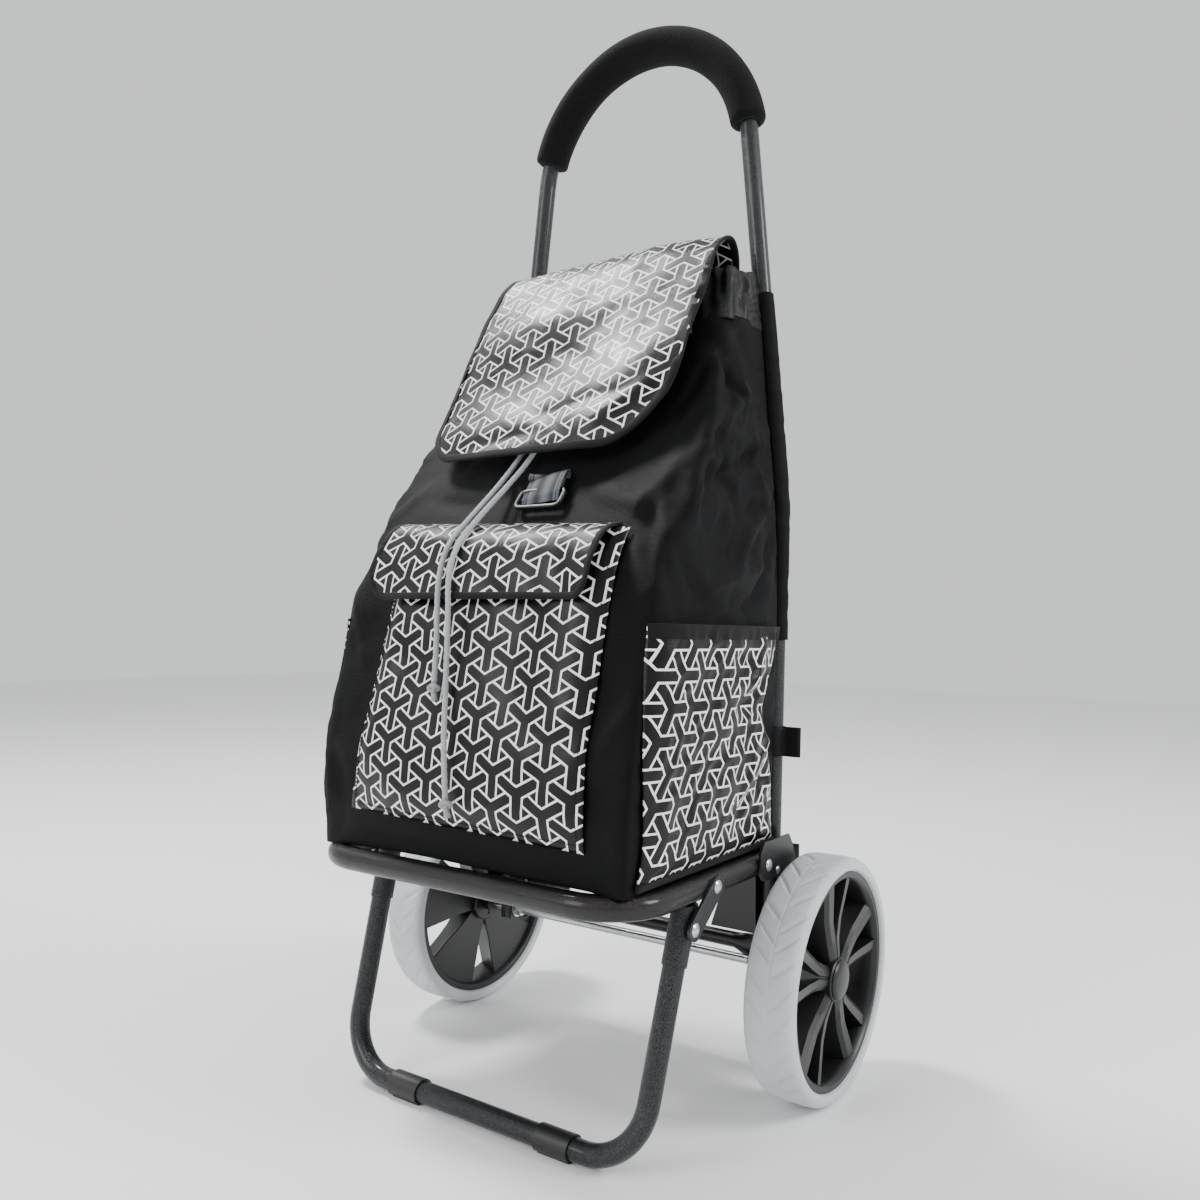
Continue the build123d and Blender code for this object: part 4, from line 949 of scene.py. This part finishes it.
def speckled(name, colour, rough, metallic, scale, depth, light):
    """A plain finish with a fine grain: a noise that shifts the tone and lifts the surface a little."""
    made, tree, shader = material(name, colour, rough, metallic)
    place = add(tree, "ShaderNodeTexCoord")
    grain = add(tree, "ShaderNodeTexNoise", None, {"Vector": place.outputs["Object"], "Scale": scale, "Detail": 5.0})
    tone = add(tree, "ShaderNodeMix", {"data_type": "RGBA"},
               {0: grain.outputs[0], 6: linear(colour), 7: linear(light)})
    tree.links.new(tone.outputs[2], shader.inputs["Base Color"])
    bump = add(tree, "ShaderNodeBump", None, {"Height": grain.outputs[0], "Distance": depth, "Strength": 0.4})
    tree.links.new(bump.outputs[0], shader.inputs["Normal"])
    return made


def turned(profile, sides):
    """A closed ring of (along the axle, radius) points, turned round the axle."""
    angle = (np.arange(sides) * 2 * math.pi / sides)[:, None]
    return np.stack([profile[None, :, 0] + 0 * angle, -profile[None, :, 1] * np.sin(angle),
                     profile[None, :, 1] * np.cos(angle)], -1)


def rib_section(radius):
    """A spoke's cross-section at a radius: (along the axle, across) points of two broad bevelled tops, the
    valley between them and the flanks that slope down to the inner face."""
    inner, outer, foot, top, floor = (np.interp(radius, (16, 34, 50, 84), v) for v in (
        (0.9, 1.0, 5.0, 13.0), (9.0, 12.0, 17.0, 26.5), (11, 17, 24, 38), (15.8, 13.5, 13.0, 16.4),
        (15.0, 12.0, 4.0, -4.0)))
    half = [(top, inner + 0.6), (top - 0.6, outer - 4.2), (top - 3.4, outer), (-3 + 0 * top, outer + 3.0),
            (-13 + 0 * top, foot), (-14 + 0 * top, foot - 0.6)]
    other = [(a, -b) for a, b in half[::-1]]
    valley = [(floor, 0.6 - inner), (floor, inner - 0.6)]
    return np.array([np.stack(pair, -1) for pair in half + other + valley])


rim_plastic = speckled("moulded_rim_plastic", "#0b0b0c", 0.40, 0.0, 500.0, 0.0002, "#141516")
barrel = np.array([(0, 89.8), (-18.6, 89.8), (-18.6, 85.6), (-17.8, 84.6), (-13.0, 82.4), (13.0, 82.4),
                   (15.0, 83.2), (17.8, 84.6), (18.6, 85.6), (18.6, 89.8)])
hub = np.array([(17.4, 4.2), (17.4, 17.0), (16.4, 18.2), (-17.8, 18.2), (-18.8, 17.0), (-18.8, 4.2)])
dome = np.array([(16.9, 15.4), (17.2, 16.6), (18.3, 16.8), (19.4, 16.0), (20.3, 14.2), (21.2, 11), (21.8, 7),
                 (22.1, 3), (22.2, 0.4)])
SPOKES = 5
reach = np.linspace(15.5, 84, 26)
for side, name in ((1, "right"), (-1, "left")):
    solids = [grid((turned(ring[::-1], 96) * (side, 1, 1) + (side * WHEEL_X, 0, WHEEL_R))[::side], (True, True))
              for ring in (barrel, hub)]
    for k in range(SPOKES):
        heading = math.radians(360 / SPOKES * k)
        spoke = np.stack([0 * reach, -reach * math.sin(heading), reach * math.cos(heading)], -1)
        loft = carried(spoke, rib_section(reach), (1, 0, 0)) * (side, 1, 1) + (side * WHEEL_X, 0, WHEEL_R)
        solids.append(grid(loft[::side], (True, False), (True, True)))
    rim = piece(f"twin_rib_rim_{name}", rim_plastic, *solids)
    cap_ring = (turned(dome, 64) * (side, 1, 1) + (side * WHEEL_X, 0, WHEEL_R))[::side]
    cap = piece(f"hub_cap_dome_{name}", rim_plastic, grid(cap_ring, (True, False), (True, True)))
    for made, node in ((rim, "wheel_rim"), (cap, "hub_cap")):
        made.data.set_sharp_from_angle(angle=math.radians(28))
        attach(made, f"wheel_{name}")
        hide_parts(f"{node}_{name}")

# ---- tubes, brackets and rivets ----
# Welded steel tube with a hammertone enamel, black enamelled brackets and zinc-plated rivets. The enamel's
# silver pigment gathers into cells about 1.5 mm across.


def hammertone(name, dark, light, rough):
    """Hammertone enamel: dark cells with silver rims, each a small dimple."""
    made, tree, shader = material(name, dark, rough, 0.4, 0.35)
    place = add(tree, "ShaderNodeTexCoord")
    warp = add(tree, "ShaderNodeTexNoise", None, {"Vector": place.outputs["Object"], "Scale": 260.0, "Detail": 3.0})
    mixed = add(tree, "ShaderNodeMix", {"data_type": "VECTOR"},
                {0: 0.006, 4: place.outputs["Object"], 5: warp.outputs["Color"]})
    cell = add(tree, "ShaderNodeTexVoronoi", {"feature": "DISTANCE_TO_EDGE"},
               {"Vector": mixed.outputs[1], "Scale": 760.0})
    rim = add(tree, "ShaderNodeMapRange", None, {0: cell.outputs[0], 1: 0.0, 2: 0.16, 3: 1.0, 4: 0.0})
    tone = add(tree, "ShaderNodeMix", {"data_type": "RGBA"},
               {0: rim.outputs[0], 6: linear(dark), 7: linear(light)})
    tree.links.new(tone.outputs[2], shader.inputs["Base Color"])
    dimple = add(tree, "ShaderNodeBump", {"invert": True},
                 {"Height": rim.outputs[0], "Distance": 0.0004, "Strength": 0.35})
    tree.links.new(dimple.outputs[0], shader.inputs["Normal"])
    shader.inputs["Coat Weight"].default_value = 0.25
    shader.inputs["Coat Roughness"].default_value = 0.15
    return made


grey_hammer = hammertone("hammertone_enamel_grey", "#050506", "#393b3d", 0.30)
brown_hammer = hammertone("hammertone_enamel_bronze", "#090706", "#2c2826", 0.26)
black_enamel = speckled("black_enamelled_steel", "#050505", 0.35, 0.0, 300.0, 0.0001, "#0d0d0e")
plated = speckled("bright_zinc_plate", "#b4b6b8", 0.28, 1.0, 220.0, 0.00005, "#d2d3d4")
sleeve_plastic = speckled("black_polypropylene", "#060607", 0.45, 0.0, 400.0, 0.0001, "#1b1b1c")
board_cloth = speckled("vinyl_covered_board", "#070707", 0.6, 0.0, 600.0, 0.0002, "#202022")
both_sides = lambda *nodes: [f"{node}_{side}" for node in nodes for side in ("left", "right")]
for finish, names in ((grey_hammer, ["handle_tube", "front_leg", *both_sides("leg_sleeve", "link_plate")]),
                      (brown_hammer, ["platform_tube"]),
                      (black_enamel, ["cross_member", *both_sides("pivot_bracket", "frame_gusset")]),
                      (plated, ["axle", "axle_nuts_and_washers", "platform_pivot_rivets", "bracket_rivets",
                                "link_rivets"]),
                      (sleeve_plastic, ["wheel_spacers", *both_sides("foot_sleeve")]),
                      (board_cloth, ["base_board"])):
    for node in names:
        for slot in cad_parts[node].material_slots:
            slot.material = finish
